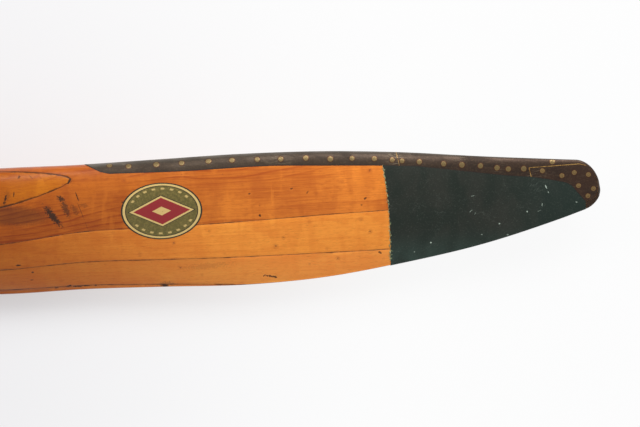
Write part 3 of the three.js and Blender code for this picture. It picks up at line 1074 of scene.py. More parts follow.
class Weave(Effect):
    """Plain-woven threads that lie along and across the blade."""

    name = "weave"
    inputs = {"pitch": 0.75}
    outputs = ("height", "threads")

    def build(self, nodes: Nodes, place: Socket, given: dict[str, Socket]) -> tuple[Socket, ...]:
        """Makes two crossing waves and two sets of drawn-out noise.

        Args:
            nodes: the group's nodes.
            place: where on the piece.
            given: its inputs, by name.

        Returns:
            The threads' height and their uneven thickness.
        """
        stir = nodes.times(nodes.noise(place, 0.25), 0.5)
        turn = nodes.maths("DIVIDE", math.pi, given["pitch"])
        waves = [nodes.maths("SINE", nodes.times(nodes.plus(side, stir), turn)) for side in nodes.parts(place)[:2]]
        height = nodes.plus(nodes.times(*waves, 0.5), 0.5)
        along, across = (nodes.noise(nodes.long(place, *side), 1.0) for side in ((0.05, 1.6), (1.6, 0.05)))
        return height, nodes.times(nodes.plus(along, across), 0.5)


class ToolMarks(Effect):
    """Rings that a lathe leaves round the shaft axis, with stains that have settled on them."""

    name = "tool_marks"
    inputs = {"feed": 0.5}
    outputs = ("rings", "stain")

    def build(self, nodes: Nodes, place: Socket, given: dict[str, Socket]) -> tuple[Socket, ...]:
        """Makes noise that depends on the distance from the axis and the height, and clouds.

        Args:
            nodes: the group's nodes.
            place: where on the piece.
            given: its inputs, by name.

        Returns:
            The rings and the stains.
        """
        x, y, z = nodes.parts(place)
        rings = nodes.noise(nodes.joined(nodes.far(x, y), z), nodes.maths("DIVIDE", 1.0, given["feed"]), 3.0)
        return rings, nodes.ease(nodes.noise(place, 0.06, 5.0, 0.8), 0.48, 0.72)


@dataclass(frozen=True)
class Mark:
    """One mark on the front of a blade, in millimetres and degrees: most are left by use, and one broad patch is
    painted shade.
    """

    x: float
    y: float
    length: float
    width: float
    turn: float = 0.0
    ragged: float = 0.25
    strength: float = 1.0


class MarkSet(Effect):
    """A set of marks at their own places on the front of each blade."""

    inputs = {"up": 1.0}
    outputs = ("mask",)
    other_shift = 23.0
    other_squeeze = 0.93

    def __init__(self, name: str, *rows: tuple[float, ...]) -> None:
        """Takes the group's name and the sizes of each mark in it."""
        self.name = name
        self.marks = [Mark(*row) for row in rows]

    def build(self, nodes: Nodes, place: Socket, given: dict[str, Socket]) -> tuple[Socket, ...]:
        """Makes a ragged oval for each mark, a little elsewhere on blade b, and none on the rear.

        Args:
            nodes: the group's nodes.
            place: where on the piece.
            given: its inputs, by name.

        Returns:
            The marks' mask.
        """
        x, y, _ = nodes.parts(place)
        other = nodes.maths("LESS_THAN", x, 0.0)
        along = nodes.plus(nodes.maths("ABSOLUTE", x), nodes.times(other, self.other_shift))
        squeeze = nodes.ease(other, 0.0, 1.0, 1.0, self.other_squeeze)
        flat = nodes.joined(along, nodes.times(y, nodes.maths("SIGN", x), squeeze))
        rough = nodes.minus(nodes.noise(flat, 0.55, 4.0), 0.5)
        spots = []
        for mark in self.marks:
            settings = {"Vector": flat, "Location": (mark.x, mark.y, 0.0)}
            settings["Scale"] = (0.5 * mark.length, 0.5 * mark.width, 1.0)
            settings["Rotation"] = (0.0, 0.0, math.radians(mark.turn))
            local = nodes.add("Mapping", settings, vector_type="TEXTURE").outputs[0]
            away = nodes.add("VectorMath", {0: local}, operation="LENGTH").outputs["Value"]
            away = nodes.maths("MULTIPLY_ADD", rough, 8.0 * mark.ragged, away)
            spots.append(nodes.ease(away, 0.55, 1.1, mark.strength, 0.0))
        return (nodes.times(nodes.most(*spots), nodes.ease(given["up"], 0.1, 0.3)),)


STAINS_AND_SHADE = MarkSet(
    "handling_stains",
    # The broad soft patch at x 390 mm is painted shade that darkens the wood near the boss; the other rows are
    # handling stains.
    (438.4, 3.6, 31, 8.5, -53, 0.3, 0.92), (390.0, 7.0, 100, 26, -4, 0.08, 0.44),
    (434.0, 11.0, 12, 10, -40, 0.35, 0.55), (449.2, 23.5, 11, 6, -38, 0.3, 0.85),
    (453.5, 12.0, 22, 8, -72, 0.35, 0.66), (464.0, 10.0, 14, 7, -60, 0.4, 0.4),
    (474.5, 15.0, 10, 5, -20, 0.4, 0.3), (388.0, 29.0, 13, 8, 70, 0.35, 0.25),
    (563.0, -80.5, 22, 6, 0, 0.3, 0.35), (610.0, -62.0, 60, 7, 2, 0.4, 0.16),
)
KNOCKS = MarkSet(
    "knocks_and_cracks",
    (459.6, 43.2, 9, 3.0, 62, 0.12), (467.6, 25.0, 13, 1.5, -73, 0.1, 0.95),
    (470.8, 8.0, 24, 1.0, -72, 0.15, 0.6), (476.0, -9.0, 14, 0.7, -74, 0.2, 0.35),
    (386.3, 27.0, 9, 2.6, 76, 0.2, 0.95), (384.5, 22.0, 5, 3.4, 40, 0.2, 0.8),
    (396.0, 31.2, 7, 1.8, 82, 0.2, 0.85), (402.7, 50.5, 4.5, 2.8, 60, 0.25, 0.75),
    (416.4, 50.0, 8, 1.2, -50, 0.25, 0.55), (450.0, -77.2, 7, 2.2, 10),
    (459.0, -78.0, 15, 1.8, -4), (471.5, -77.8, 11, 1.6, 5, 0.3, 0.85),
    (480.5, -78.0, 3.5, 1.8, 0, 0.2, 0.9), (435.4, -78.6, 5, 1.6, 0, 0.2, 0.8),
    (560.6, -82.3, 10, 3.6, -4, 0.12), (683.0, -77.4, 13, 2.3, -9, 0.3),
    (688.8, -78.6, 5, 2.6, -30, 0.2), (676.0, -76.6, 4, 1.6, 40, 0.2, 0.9),
    (675.0, -6.9, 3.0, 3.6, 20, 0.12), (664.5, 18.5, 3.0, 2.2, 30, 0.2, 0.8),
    (713.0, 22.0, 3.2, 2.2, 20, 0.2, 0.75), (731.0, 17.0, 4.0, 2.4, 40, 0.25, 0.65),
    (796.6, 6.6, 4.2, 2.6, 30, 0.15, 0.9), (792.0, -0.5, 3.0, 2.0, 0, 0.2, 0.6),
    (810.7, -56.3, 5.0, 3.2, -30, 0.2, 0.85), (394.2, -50.4, 6.5, 2.2, 0, 0.2),
    (409.8, -59.3, 3.4, 2.2, 0, 0.15, 0.9), (408.0, -68.0, 4.0, 1.4, 0, 0.15, 0.8),
    (519.0, 16.0, 3.0, 2.0, 0, 0.2, 0.7),
)
CHIPS = MarkSet(
    "paint_chips",
    (1004.6, 9.6, 5.0, 1.5, -66, 0.12), (1007.1, 3.2, 2.6, 1.1, -60, 0.12, 0.85),
    (999.5, -10.6, 4.2, 1.0, 85, 0.12, 0.75), (981.9, -17.6, 2.0, 1.9, 0, 0.12, 0.95),
    (949.6, -29.8, 2.0, 2.0, 0, 0.12, 0.85), (958.7, -43.2, 2.2, 1.5, 0, 0.12, 0.8),
    (928.9, -41.5, 2.2, 1.2, 0, 0.15, 0.55), (869.8, -47.7, 2.2, 2.0, 0, 0.12, 0.9),
    (850.5, -57.5, 1.8, 1.5, 0, 0.12, 0.7), (822.8, -56.3, 7.5, 1.2, 84, 0.15, 0.8),
    (1039.0, -9.5, 2.6, 1.4, 0, 0.15, 0.7), (917.0, -14.0, 5.5, 0.9, 38, 0.15, 0.5),
    (922.0, -17.0, 4.0, 0.7, 52, 0.15, 0.45), (920.0, 3.5, 6.0, 1.0, 8, 0.3, 0.35),
    (996.0, -17.5, 5.0, 0.8, 20, 0.3, 0.4), (975.0, -55.0, 3.0, 1.6, 16, 0.15, 0.5),
)


# ---------------------------------------------------------------- finishes


MATERIALS: dict[str, bpy.types.Material] = {}


@dataclass(frozen=True)
class Finish:
    """What a piece is made of and how its surface looks. Each kind of surface paints its own nodes."""

    name: str
    slot: str

    def paint(self, nodes: Nodes, place: Socket) -> Sockets:
        """Makes the surface's nodes.

        Args:
            nodes: the material's nodes.
            place: where on the piece.

        Returns:
            The shader's sockets.
        """
        raise NotImplementedError

    def material(self) -> bpy.types.Material:
        """The finish as a material, made when it is first asked for.

        Returns:
            The material.
        """
        if self.name in MATERIALS:
            return MATERIALS[self.name]
        made = MATERIALS[self.name] = bpy.data.materials.new(self.name)
        made.use_nodes = True
        made.node_tree.nodes.clear()
        nodes = Nodes(made.node_tree)
        shader = nodes.add("BsdfPrincipled", self.paint(nodes, nodes.place()))
        nodes.add("OutputMaterial", {"Surface": shader.outputs[0]})
        return made


@dataclass(frozen=True)
class VarnishedBirch(Finish):
    """One birch board under old orange varnish."""

    light: Colour
    dark: Colour
    pith_y: float
    pith_z: float
    ring: float
    shift: float
    figure: float = 0.7
    # How far out along the blade the painted shade that darkens the board towards the hub reaches, in millimetres.
    hub_shade_to: float = 640.0
    line: float = 0.5
    faint: float = 0.45

    def paint(self, nodes: Nodes, place: Socket) -> Sockets:
        """Makes the board's figure, a painted shade that darkens it towards the hub, its glue lines, stains with one
        patch of painted shade among them, and knocks.

        Args:
            nodes: the material's nodes.
            place: where on the piece.

        Returns:
            The shader's sockets.
        """
        up = nodes.facing(2)
        rings, fibre, pores, clouds = BirchFigure().lay(
            nodes, place=place, pith_y=self.pith_y, pith_z=self.pith_z, ring=self.ring, shift=self.shift
        )
        steep = nodes.maths("MINIMUM", nodes.maths("ABSOLUTE", up), 0.9999)
        line, line_halo = GlueLines().lay(nodes, place=place, up=steep, line=self.line, faint=self.faint)
        (stains,), (knocks,) = (marks.lay(nodes, place=place, up=up) for marks in (STAINS_AND_SHADE, KNOCKS))
        specks, speck_halo = Specks().lay(nodes, place=place, spacing=14.0, size=1.25, share=0.55, ragged=0.7)

        tone = nodes.times(nodes.ease(clouds, 0.32, 0.7), 0.5)
        reach = nodes.maths("ABSOLUTE", nodes.parts(place)[0])
        figure = nodes.times(rings, nodes.ease(reach, 560.0, 760.0, 1.0, 0.45))
        tone = nodes.maths("MULTIPLY_ADD", figure, self.figure * 0.75, tone)
        tone = nodes.maths("MULTIPLY_ADD", nodes.ease(fibre, 0.32, 0.72), 0.34, tone)
        mottle = nodes.noise(nodes.long(place, 0.5), 0.22, 4.0)
        curl = nodes.noise(nodes.long(place, 1.0, 0.3, 0.3), 0.06, 3.0, 0.6)
        colour = nodes.layered(
            self.light,
            (nodes.maths("MINIMUM", tone, 1.0), self.dark),
            (nodes.ease(mottle, 0.5, 0.78, 0.0, 0.35), self.dark),
            (nodes.ease(curl, 0.42, 0.66, 0.0, 0.3), self.dark),
            (nodes.ease(curl, 0.4, 0.26, 0.0, 0.5), self.light),
            (pores, linear(140, 62, 20), 0.36),
        )
        # Painted shade: the wood is made darker and browner towards the hub, fading out farther along the blade.
        hub_shade = nodes.ease(reach, 340.0, self.hub_shade_to, 0.95, 0.0)
        colour = nodes.layered(
            nodes.mix(hub_shade, colour, (0.5, 0.37, 0.18), "MULTIPLY"),
            (line_halo, linear(120, 56, 20), 0.16),
            (line, linear(46, 22, 10), 0.85),
            (speck_halo, linear(158, 66, 24), 0.26),
            (specks, linear(104, 46, 20), 0.5),
            # The stains mask also carries one broad patch of painted shade.
            (stains, linear(46, 31, 22)),
            (knocks, linear(34, 17, 12), 0.9),
        )
        rough = nodes.ease(nodes.noise(place, 0.05, 4.0), 0.3, 0.7, 0.3, 0.46)
        rough = nodes.maths("MULTIPLY_ADD", nodes.most(knocks, stains), 0.25, rough)
        grain = nodes.bump(nodes.maths("MULTIPLY_ADD", fibre, 0.5, rings), 0.03)
        dents = nodes.minus(1.0, nodes.most(knocks, line, specks))
        return {
            "Base Color": colour, "Roughness": rough, "Normal": nodes.bump(dents, 0.22, grain),
            "Coat Weight": 0.2, "Coat Roughness": 0.2, "Specular IOR Level": 0.25,
        }


@dataclass(frozen=True)
class AgedBrass(Finish):
    """Brass sheet gone grey-brown in the open, redder towards the blade tip."""

    near: Colour = linear(70, 57, 45)
    far: Colour = linear(66, 48, 37)
    deep: Colour = linear(44, 35, 28)
    # Grey of the worn nose, also a painted highlight where the brass faces the leading direction.
    worn: Colour = linear(112, 104, 94)

    def paint(self, nodes: Nodes, place: Socket) -> Sockets:
        """Makes the sheet's patina, its worn nose lightened as a painted highlight where it faces the leading
        direction, scuffs and pits.

        Args:
            nodes: the material's nodes.
            place: where on the piece.

        Returns:
            The shader's sockets.
        """
        x, _, _ = nodes.parts(place)
        ahead = nodes.times(nodes.facing(1), nodes.maths("SIGN", x))
        patina = nodes.noise(nodes.long(place, 0.35), 0.07, 5.0, 0.7)
        mottle = nodes.noise(place, 0.5, 4.0)
        (scuffs,) = Scratches().lay(nodes, place=place, turn=0.12, spacing=5.0, thin=0.01)
        pits, _ = Specks().lay(nodes, place=place, spacing=7.0, size=0.7, share=0.35, ragged=0.5)
        colour = nodes.layered(
            self.near,
            (nodes.ease(nodes.maths("ABSOLUTE", x), 690.0, 1040.0), self.far),
            (nodes.ease(patina, 0.42, 0.72, 0.0, 0.75), self.deep),
            (nodes.ease(mottle, 0.45, 0.75, 0.0, 0.16), linear(128, 104, 76)),
            # Worn nose and painted highlight: lighter grey where the surface faces the direction of travel.
            (nodes.ease(ahead, 0.35, 0.95), self.worn, nodes.ease(patina, 0.35, 0.6, 0.85, 0.5)),
            (scuffs, linear(176, 160, 132), 0.35),
            (pits, linear(30, 22, 18), 0.5),
        )
        relief = nodes.maths("MULTIPLY_ADD", pits, -1.0, mottle)
        normal = nodes.bump(relief, 0.05, nodes.bump(nodes.noise(place, 0.08, 1.0), 0.5))
        rough = nodes.ease(patina, 0.3, 0.7, 0.4, 0.62)
        return {"Base Color": colour, "Metallic": 0.6, "Roughness": rough, "Normal": normal}


@dataclass(frozen=True)
class BrassSpot(Finish):
    """A solder-covered screw or a filed rivet head in the sheathing: a brass disc with a faint ring."""

    face: Colour = linear(142, 120, 80)
    ring: Colour = linear(120, 96, 58)
    rim: Colour = linear(84, 46, 28)

    def paint(self, nodes: Nodes, place: Socket) -> Sockets:
        """Makes the disc's ring and rim from each point's distance to the middle.

        Args:
            nodes: the material's nodes.
            place: where on the piece.

        Returns:
            The shader's sockets.
        """
        mottle = nodes.noise(place, 0.9, 4.0)
        away = nodes.add("Attribute", attribute_name="from_centre").outputs["Fac"]
        away = nodes.plus(away, nodes.times(nodes.minus(mottle, 0.5), 0.22))
        colour = nodes.layered(
            self.face,
            (nodes.ease(mottle, 0.3, 0.75), linear(116, 98, 62)),
            (nodes.ease(nodes.maths("ABSOLUTE", nodes.minus(away, 0.36)), 0.04, 0.14, 0.55, 0.0), self.ring),
            (nodes.ease(away, 0.72, 0.9), self.rim),
        )
        rough = nodes.ease(mottle, 0.3, 0.7, 0.34, 0.52)
        return {"Base Color": colour, "Metallic": 0.65, "Roughness": rough, "Normal": nodes.bump(mottle, 0.08)}


@dataclass(frozen=True)
class PlainMetal(Finish):
    """A small metal bead or wire with uneven colour."""

    colour: Colour = linear(196, 156, 92)
    dull: Colour = linear(120, 84, 44)
    rough: float = 0.38
    metallic: float = 0.8
    grain: float = 0.6

    def paint(self, nodes: Nodes, place: Socket) -> Sockets:
        """Makes patches of dull oxide and a fine unevenness.

        Args:
            nodes: the material's nodes.
            place: where on the piece.

        Returns:
            The shader's sockets.
        """
        patches = nodes.noise(place, self.grain * 0.3, 4.0)
        rough = nodes.ease(patches, 0.3, 0.7, self.rough, self.rough + 0.18)
        fine = nodes.bump(nodes.noise(place, self.grain * 3.0, 3.0), 0.03)
        colour = nodes.mix(nodes.ease(patches, 0.42, 0.66), self.colour, self.dull)
        return {"Base Color": colour, "Metallic": self.metallic, "Roughness": rough, "Normal": fine}


@dataclass(frozen=True)
class EdgeFiller(Finish):
    """Dark filler and grime packed along the edge of the brass."""

    colour: Colour = linear(24, 18, 14)

    def paint(self, nodes: Nodes, place: Socket) -> Sockets:
        """Makes the filler near-black with browner crumbs.

        Args:
            nodes: the material's nodes.
            place: where on the piece.

        Returns:
            The shader's sockets.
        """
        crumbs = nodes.noise(place, 0.8, 4.0)
        colour = nodes.mix(nodes.ease(crumbs, 0.45, 0.7, 0.0, 0.6), self.colour, linear(70, 46, 26))
        rough = nodes.ease(crumbs, 0.3, 0.7, 0.5, 0.8)
        return {"Base Color": colour, "Roughness": rough, "Normal": nodes.bump(crumbs, 0.1)}


@dataclass(frozen=True)
class DopedFabric(Finish):
    """Linen glued to the tip and painted dark green, with chips and rubbed places."""

    green: Colour = linear(30, 38, 31)
    blue: Colour = linear(48, 70, 62)
    bare: Colour = linear(176, 190, 176)

    def paint(self, nodes: Nodes, place: Socket) -> Sockets:
        """Makes the fabric's clouds of paint, the covered weave, scuffs and chips.

        Args:
            nodes: the material's nodes.
            place: where on the piece.

        Returns:
            The shader's sockets.
        """
        x, y, _ = nodes.parts(place)
        behind = nodes.times(y, nodes.maths("SIGN", x))
        height, threads = Weave().lay(nodes, place=place)
        clouds = nodes.noise(nodes.long(place, 1.0, 0.5), 0.035, 4.0, 0.5)
        dust = nodes.noise(place, 0.6, 4.0)
        (scuffs,) = Scratches().lay(nodes, place=place, turn=0.5, spacing=9.0, thin=0.006)
        (chips,) = CHIPS.lay(nodes, place=place, up=nodes.facing(2))
        specks, _ = Specks().lay(nodes, place=place, spacing=21.0, size=0.8, share=0.22, ragged=0.5)
        chips = nodes.most(chips, nodes.times(specks, 0.4))
        colour = nodes.layered(
            self.green,
            (nodes.ease(clouds, 0.35, 0.7), linear(41, 43, 36)),
            (nodes.ease(behind, -28.0, -72.0, 0.0, 0.75), self.blue, nodes.ease(clouds, 0.3, 0.6, 0.4, 1.0)),
            (nodes.ease(nodes.maths("ABSOLUTE", x), 930.0, 1040.0, 0.0, 0.55), linear(28, 46, 40)),
            (nodes.ease(dust, 0.52, 0.8, 0.0, 0.28), linear(92, 98, 88)),
            (scuffs, linear(120, 130, 120), 0.22),
            (chips, self.bare, 0.9),
        )
        rough = nodes.maths("MULTIPLY_ADD", chips, 0.2, nodes.ease(clouds, 0.3, 0.7, 0.44, 0.58))
        cloth = nodes.bump(nodes.maths("MULTIPLY_ADD", threads, 0.6, height), 0.05)
        normal = nodes.bump(nodes.minus(1.0, chips), 0.12, cloth)
        return {"Base Color": colour, "Roughness": rough, "Normal": normal, "Specular IOR Level": 0.35}


@dataclass(frozen=True)
class LooseThread(Finish):
    """Frayed linen with a little green paint on it."""

    def paint(self, nodes: Nodes, place: Socket) -> Sockets:
        """Makes pale and green patches with fine fibres.

        Args:
            nodes: the material's nodes.
            place: where on the piece.

        Returns:
            The shader's sockets.
        """
        patches, fibres = nodes.noise(place, 0.35), nodes.noise(place, 6.0)
        colour = nodes.mix(nodes.ease(patches, 0.4, 0.6), linear(192, 198, 146), linear(92, 116, 84))
        rough = nodes.ease(fibres, 0.3, 0.7, 0.75, 0.95)
        return {"Base Color": colour, "Roughness": rough, "Normal": nodes.bump(fibres, 0.04)}


@dataclass(frozen=True)
class OvalDecal(Finish):
    """A plain oval label under varnish: a gold rim round an olive field with a red diamond and no lettering."""

    x: float = 563.0
    y: float = 3.9
    length: float = 93.2
    height: float = 64.7
    gold: Colour = linear(222, 190, 118)
    olive: Colour = linear(104, 94, 40)
    red: Colour = linear(150, 34, 38)
    line: Colour = linear(42, 36, 22)

    def band(self, nodes: Nodes, value: Socket, low: float, high: float, soft: float = 0.008) -> Socket:
        """A mask that is 1 while a value lies between two limits."""
        rise = nodes.ease(value, low - soft, low + soft)
        return nodes.times(rise, nodes.ease(value, high - soft, high + soft, 1.0, 0.0))

    def paint(self, nodes: Nodes, place: Socket) -> Sockets:
        """Makes the label's print from its own across and up, each from -1 to 1.

        Args:
            nodes: the material's nodes.
            place: where on the piece.

        Returns:
            The shader's sockets.
        """
        x, y, _ = nodes.parts(place)
        across = nodes.maths("DIVIDE", nodes.minus(nodes.maths("ABSOLUTE", x), self.x), self.length / 2)
        raised = nodes.minus(nodes.times(y, nodes.maths("SIGN", x)), self.y)
        up = nodes.maths("DIVIDE", raised, self.height / 2)
        away = nodes.far(across, up)
        wide, tall = nodes.maths("ABSOLUTE", across), nodes.maths("ABSOLUTE", up)
        diamond = nodes.plus(nodes.maths("DIVIDE", wide, 0.74), nodes.maths("DIVIDE", tall, 0.5))
        worn, fine = nodes.noise(place, 0.35, 5.0), nodes.noise(place, 1.4, 4.0)
        beat = nodes.maths("SINE", nodes.times(nodes.maths("ARCTAN2", up, across), 22.0))
        dashes = nodes.times(nodes.ease(beat, 0.15, 0.5), self.band(nodes, away, 0.76, 0.82, 0.02))
        dashes = nodes.times(dashes, nodes.ease(tall, 0.3, 0.36))
        lost = nodes.ease(nodes.noise(place, 0.5, 5.0, 0.4), 0.62, 0.72, 0.0, 0.6)
        colour = nodes.layered(
            self.olive,
            (nodes.ease(worn, 0.35, 0.7), linear(132, 116, 56)),
            (nodes.ease(fine, 0.46, 0.66, 0.0, 0.7), linear(62, 54, 28)),
            (nodes.ease(diamond, 1.12, 1.15, 0.9, 0.0), self.line),
            (nodes.ease(diamond, 1.06, 1.09, 1.0, 0.0), self.gold),
            (nodes.ease(diamond, 0.93, 0.96, 1.0, 0.0), self.red),
            (nodes.ease(diamond, 0.3, 0.33, 0.95, 0.0), self.gold),
            (dashes, self.gold, 0.8),
            (self.band(nodes, away, 0.875, 0.90), self.line),
            (self.band(nodes, away, 0.90, 0.962), self.gold),
            (nodes.ease(away, 0.957, 0.967), self.line),
            (lost, linear(120, 84, 36)),
        )
        return {
            "Base Color": colour, "Roughness": nodes.ease(worn, 0.3, 0.7, 0.34, 0.5),
            "Normal": nodes.bump(fine, 0.03), "Coat Weight": 0.3, "Coat Roughness": 0.25,
        }


@dataclass(frozen=True)
class TurnedSteel(Finish):
    """Turned steel with tool marks, a thin oily brown stain and brighter rubbed places."""

    colour: Colour = linear(150, 150, 148)
    rough: float = 0.34
    feed: float = 0.5

    def paint(self, nodes: Nodes, place: Socket) -> Sockets:
        """Makes the steel's rings, stains, scuffs and pits.

        Args:
            nodes: the material's nodes.
            place: where on the piece.

        Returns:
            The shader's sockets.
        """
        rings, stain = ToolMarks().lay(nodes, place=place, feed=self.feed)
        clouds = nodes.noise(place, 0.03, 4.0, 0.5)
        (scuffs,) = Scratches().lay(nodes, place=place, turn=0.9, spacing=7.0, thin=0.008)
        pits, _ = Specks().lay(nodes, place=place, spacing=6.0, size=0.5, share=0.3, ragged=0.5)
        colour = nodes.layered(
            self.colour,
            (nodes.ease(clouds, 0.35, 0.7, 0.0, 0.5), linear(104, 104, 104)),
            (stain, linear(84, 66, 50), 0.55),
            (scuffs, linear(200, 198, 192), 0.4),
            (pits, linear(58, 36, 24), 0.7),
        )
        rough = nodes.ease(clouds, 0.3, 0.7, self.rough, self.rough + 0.14)
        rough = nodes.maths("MULTIPLY_ADD", stain, 0.25, rough)
        normal = nodes.bump(nodes.maths("MULTIPLY_ADD", pits, -1.0, rings), 0.03)
        return {"Base Color": colour, "Metallic": 1.0, "Roughness": rough, "Normal": normal}


@dataclass(frozen=True)
class StudioFloor(Finish):
    """A plain white floor that glows with its own light; round the hub it glows less and is darker, a painted shade
    that deepens the shadows there.
    """

    near: float = 0.38
    far: float = 0.05
    near_glow: float = 0.45
    far_glow: float = 0.92

    def paint(self, nodes: Nodes, place: Socket) -> Sockets:
        """Makes the floor near-white with the faintest clouds, and darker round the hub as painted shade.

        Args:
            nodes: the material's nodes.
            place: where on the floor, in millimetres.

        Returns:
            The shader's sockets.
        """
        reach = nodes.add("VectorMath", {0: place}, operation="LENGTH").outputs["Value"]
        # Painted shade: the floor glows less round the shaft axis, fading out by 900 mm, so it and the shadows on it
        # are darker there.
        away = nodes.ease(reach, 250.0, 900.0)
        colour = nodes.mix(away, (self.near,) * 3, (self.far,) * 3)
        colour = nodes.mix(nodes.noise(place, 0.002), colour, (0.97, 0.97, 1.0), "MULTIPLY")
        glow = nodes.mix(away, (self.near_glow, self.near_glow * 0.985, self.near_glow), (self.far_glow,) * 3)
        return {
            "Base Color": colour, "Roughness": 0.9, "Specular IOR Level": 0.1,
            "Emission Color": glow, "Emission Strength": 1.0,
        }


# ---------------------------------------------------------------- outlines


AHEAD = 85.0
BEHIND = -100.0
BEYOND = BLADE.tip + 20.0


@dataclass(frozen=True)
class Outlines:
    """The edges of the coverings of blade a, seen from the front, as points in millimetres."""

    start: tuple[Point2, ...] = ((478.0, AHEAD), (478.0, 62.0), (496.0, 52.2))
    joint: tuple[Point2, ...] = ((837.4, 41.8), (834.0, 60.0), (834.0, AHEAD))
    inner_points: tuple[Point2, ...] = ((506.0, 49.8), (590.0, 48.6), (682.0, 49.8), (752.0, 46.9), (818.0, 43.7))
    outer_points: tuple[Point2, ...] = ((837.4, 41.8), (861.0, 39.8), (908.0, 32.7), (957.0, 25.2), (988.0, 21.9))
    plate_points: tuple[Point2, ...] = ((988.0, 21.9), (1017.0, 16.0), (1032.0, 11.0), (1041.0, 1.0), (1050.0, -10.0))
    plate_start: Point2 = (985.8, 32.4)
    rim_points: tuple[Point2, ...] = ((1044.0, 34.0), (1055.0, 29.4), (1062.4, 15.0), (1063.6, 2.0), (1060.0, -6.0))
    fabric_points: tuple[Point2, ...] = (
        (818.4, 43.6), (820.7, 23.0), (822.3, 0.0), (823.4, -30.0), (822.2, -70.0), (821.5, BEHIND),
    )

    def inner(self) -> list[Point2]:
        """Inner edge of the inboard sheath."""
        return curve_through(self.inner_points, 12)

    def outer(self) -> list[Point2]:
        """Inner edge of the outboard sheath, from the joint to the tip plate."""
        return curve_through(self.outer_points, 12)

    def plate(self) -> list[Point2]:
        """Inner edge of the tip plate."""
        return curve_through(self.plate_points, 12)

    def rim(self) -> list[Point2]:
        """Edge of the tip plate towards the sheath, round the tip."""
        return [self.plate_start, *curve_through(self.rim_points, 12), self.plate_points[-1]]

    def beyond(self) -> list[Point2]:
        """Corners beyond the tip that close the outboard sheath's outline."""
        return [(1049.0, BEHIND), (BEYOND, BEHIND), (BEYOND, AHEAD)]

    def inboard_sheath(self) -> list[Point2]:
        """Closed outline of the inboard sheath."""
        return [*self.start, *self.inner(), *self.joint]

    def outboard_sheath(self) -> list[Point2]:
        """Closed outline of the outboard sheath, which also wraps the tip's edge."""
        return [*self.outer(), *self.rim(), *self.beyond(), *self.joint[:0:-1]]

    def tip_plate(self) -> list[Point2]:
        """Closed outline of a tip plate."""
        return [*self.plate(), *self.rim()[-2::-1]]

    def fabric(self, rng: random.Random) -> list[Point2]:
        """Closed outline of the fabric, with an unevenly cut inboard edge.

        Args:
            rng: where the unevenness comes from.

        Returns:
            The outline.
        """
        cut = curve_through(self.fabric_points, 20)[1:-1]
        ragged = [(x + rng.gauss(0, 0.28), y) for x, y in cut]
        edge = [self.fabric_points[0], *ragged, self.fabric_points[-1]]
        return [*self.outer()[:-1], *self.plate(), self.beyond()[0], *edge[::-1]]


OUTLINES = Outlines()


def grown(outline: Sequence[Point2], distance: float) -> list[Point2]:
    """Moves every side of a closed outline.

    Args:
        outline: its corners.
        distance: how far outwards, or inwards where it is negative.

    Returns:
        The new outline.
    """
    points = np.array(outline, float)
    area = np.sum(points[:, 0] * np.roll(points[:, 1], -1) - np.roll(points[:, 0], -1) * points[:, 1])
    if area < 0:
        points = points[::-1]
    ahead = np.roll(points, -1, axis=0) - points
    ahead /= np.linalg.norm(ahead, axis=1, keepdims=True)
    out = np.column_stack([ahead[:, 1], -ahead[:, 0]])
    corner = out + np.roll(out, 1, axis=0)
    length = np.maximum(np.sum(corner**2, axis=1, keepdims=True), 1.0)
    return [tuple(point) for point in points + 2 * distance * corner / length]


def strip(path: Sequence[Point2], width: float) -> list[Point2]:
    """A narrow band along an open path.

    Args:
        path: the band's middle line.
        width: how wide it is.

    Returns:
        The band's closed outline.
    """
    points = np.array(path, float)
    ahead = np.gradient(points, axis=0)
    ahead /= np.linalg.norm(ahead, axis=1, keepdims=True)
    side = np.column_stack([ahead[:, 1], -ahead[:, 0]]) * width / 2
    return [tuple(point) for point in np.vstack([points + side, (points - side)[::-1]])]


def divided(path: Sequence[Point2], step: float) -> list[Point2]:
    """Adds points to a path.

    Args:
        path: its points.
        step: how far apart they may be.

    Returns:
        The same path with more points.
    """
    line = []
    for (x0, y0), (x1, y1) in zip(path, path[1:]):
        count = max(1, math.ceil(math.hypot(x1 - x0, y1 - y0) / step))
        line += [(x0 + (x1 - x0) * i / count, y0 + (y1 - y0) * i / count) for i in range(count)]
    return [*line, path[-1]]


class Skin:
    """Blade a's surface, ready for thin coverings to be cut from it and small parts to be set on it."""

    INBOARD = 360.0

    def __init__(self) -> None:
        """Makes the bare blade and remembers where its surface is."""
        self.solids: dict[float, Piece] = {}
        bare = self.solid(0.0)
        points = [vertex.co / MM for vertex in bare.data.vertices]
        self.tree = BVHTree.FromPolygons(points, [tuple(face.vertices) for face in bare.data.polygons])

    def solid(self, outset: float) -> Piece:
        """Blade a as a solid, moved out by a distance; made once for each distance."""
        if outset not in self.solids:
            self.solids[outset] = BLADE.solid(f"blade_{len(self.solids)}", outset, self.INBOARD)
        return self.solids[outset]

    def cover(self, name: str, outline: Sequence[Point2], inner: float, outer: float) -> Piece:
        """A thin covering over part of the blade.

        Args:
            name: the piece's name.
            outline: the covering's edge, seen from the front.
            inner: distance of its underside from the wood.
            outer: distance of its top from the wood.

        Returns:
            The closed mesh object.
        """
        column = prism("column", outline)
        piece = carve(copy_of(self.solid(outer), name), Cut.TAKE_AWAY, self.solid(inner))
        carve(piece, Cut.KEEP_SHARED, column)
        discard(column)
        return piece

    def drop(self, x: float, y: float, side: Side) -> tuple[Vector, Vector]:
        """A place on the wood and the way out of it.

        Args:
            x: distance from the shaft axis.
            y: distance from the blade's centre line.
            side: which face of the blade.

        Returns:
            The point in millimetres and the outward direction.
        """
        start = Vector((x, y, 500.0 * side.value))
        place, out, _, _ = self.tree.ray_cast(start, Vector((0, 0, -side.value)))
        if place is None:
            place, out, _, _ = self.tree.find_nearest(Vector((x, y, 75.0)))
        return place, (out if out.z * side.value > 0 else -out)

    def finish(self) -> None:
        """Removes the solids that the coverings were cut from."""
        discard(*self.solids.values())
        self.solids.clear()


# ---------------------------------------------------------------- sub-assemblies


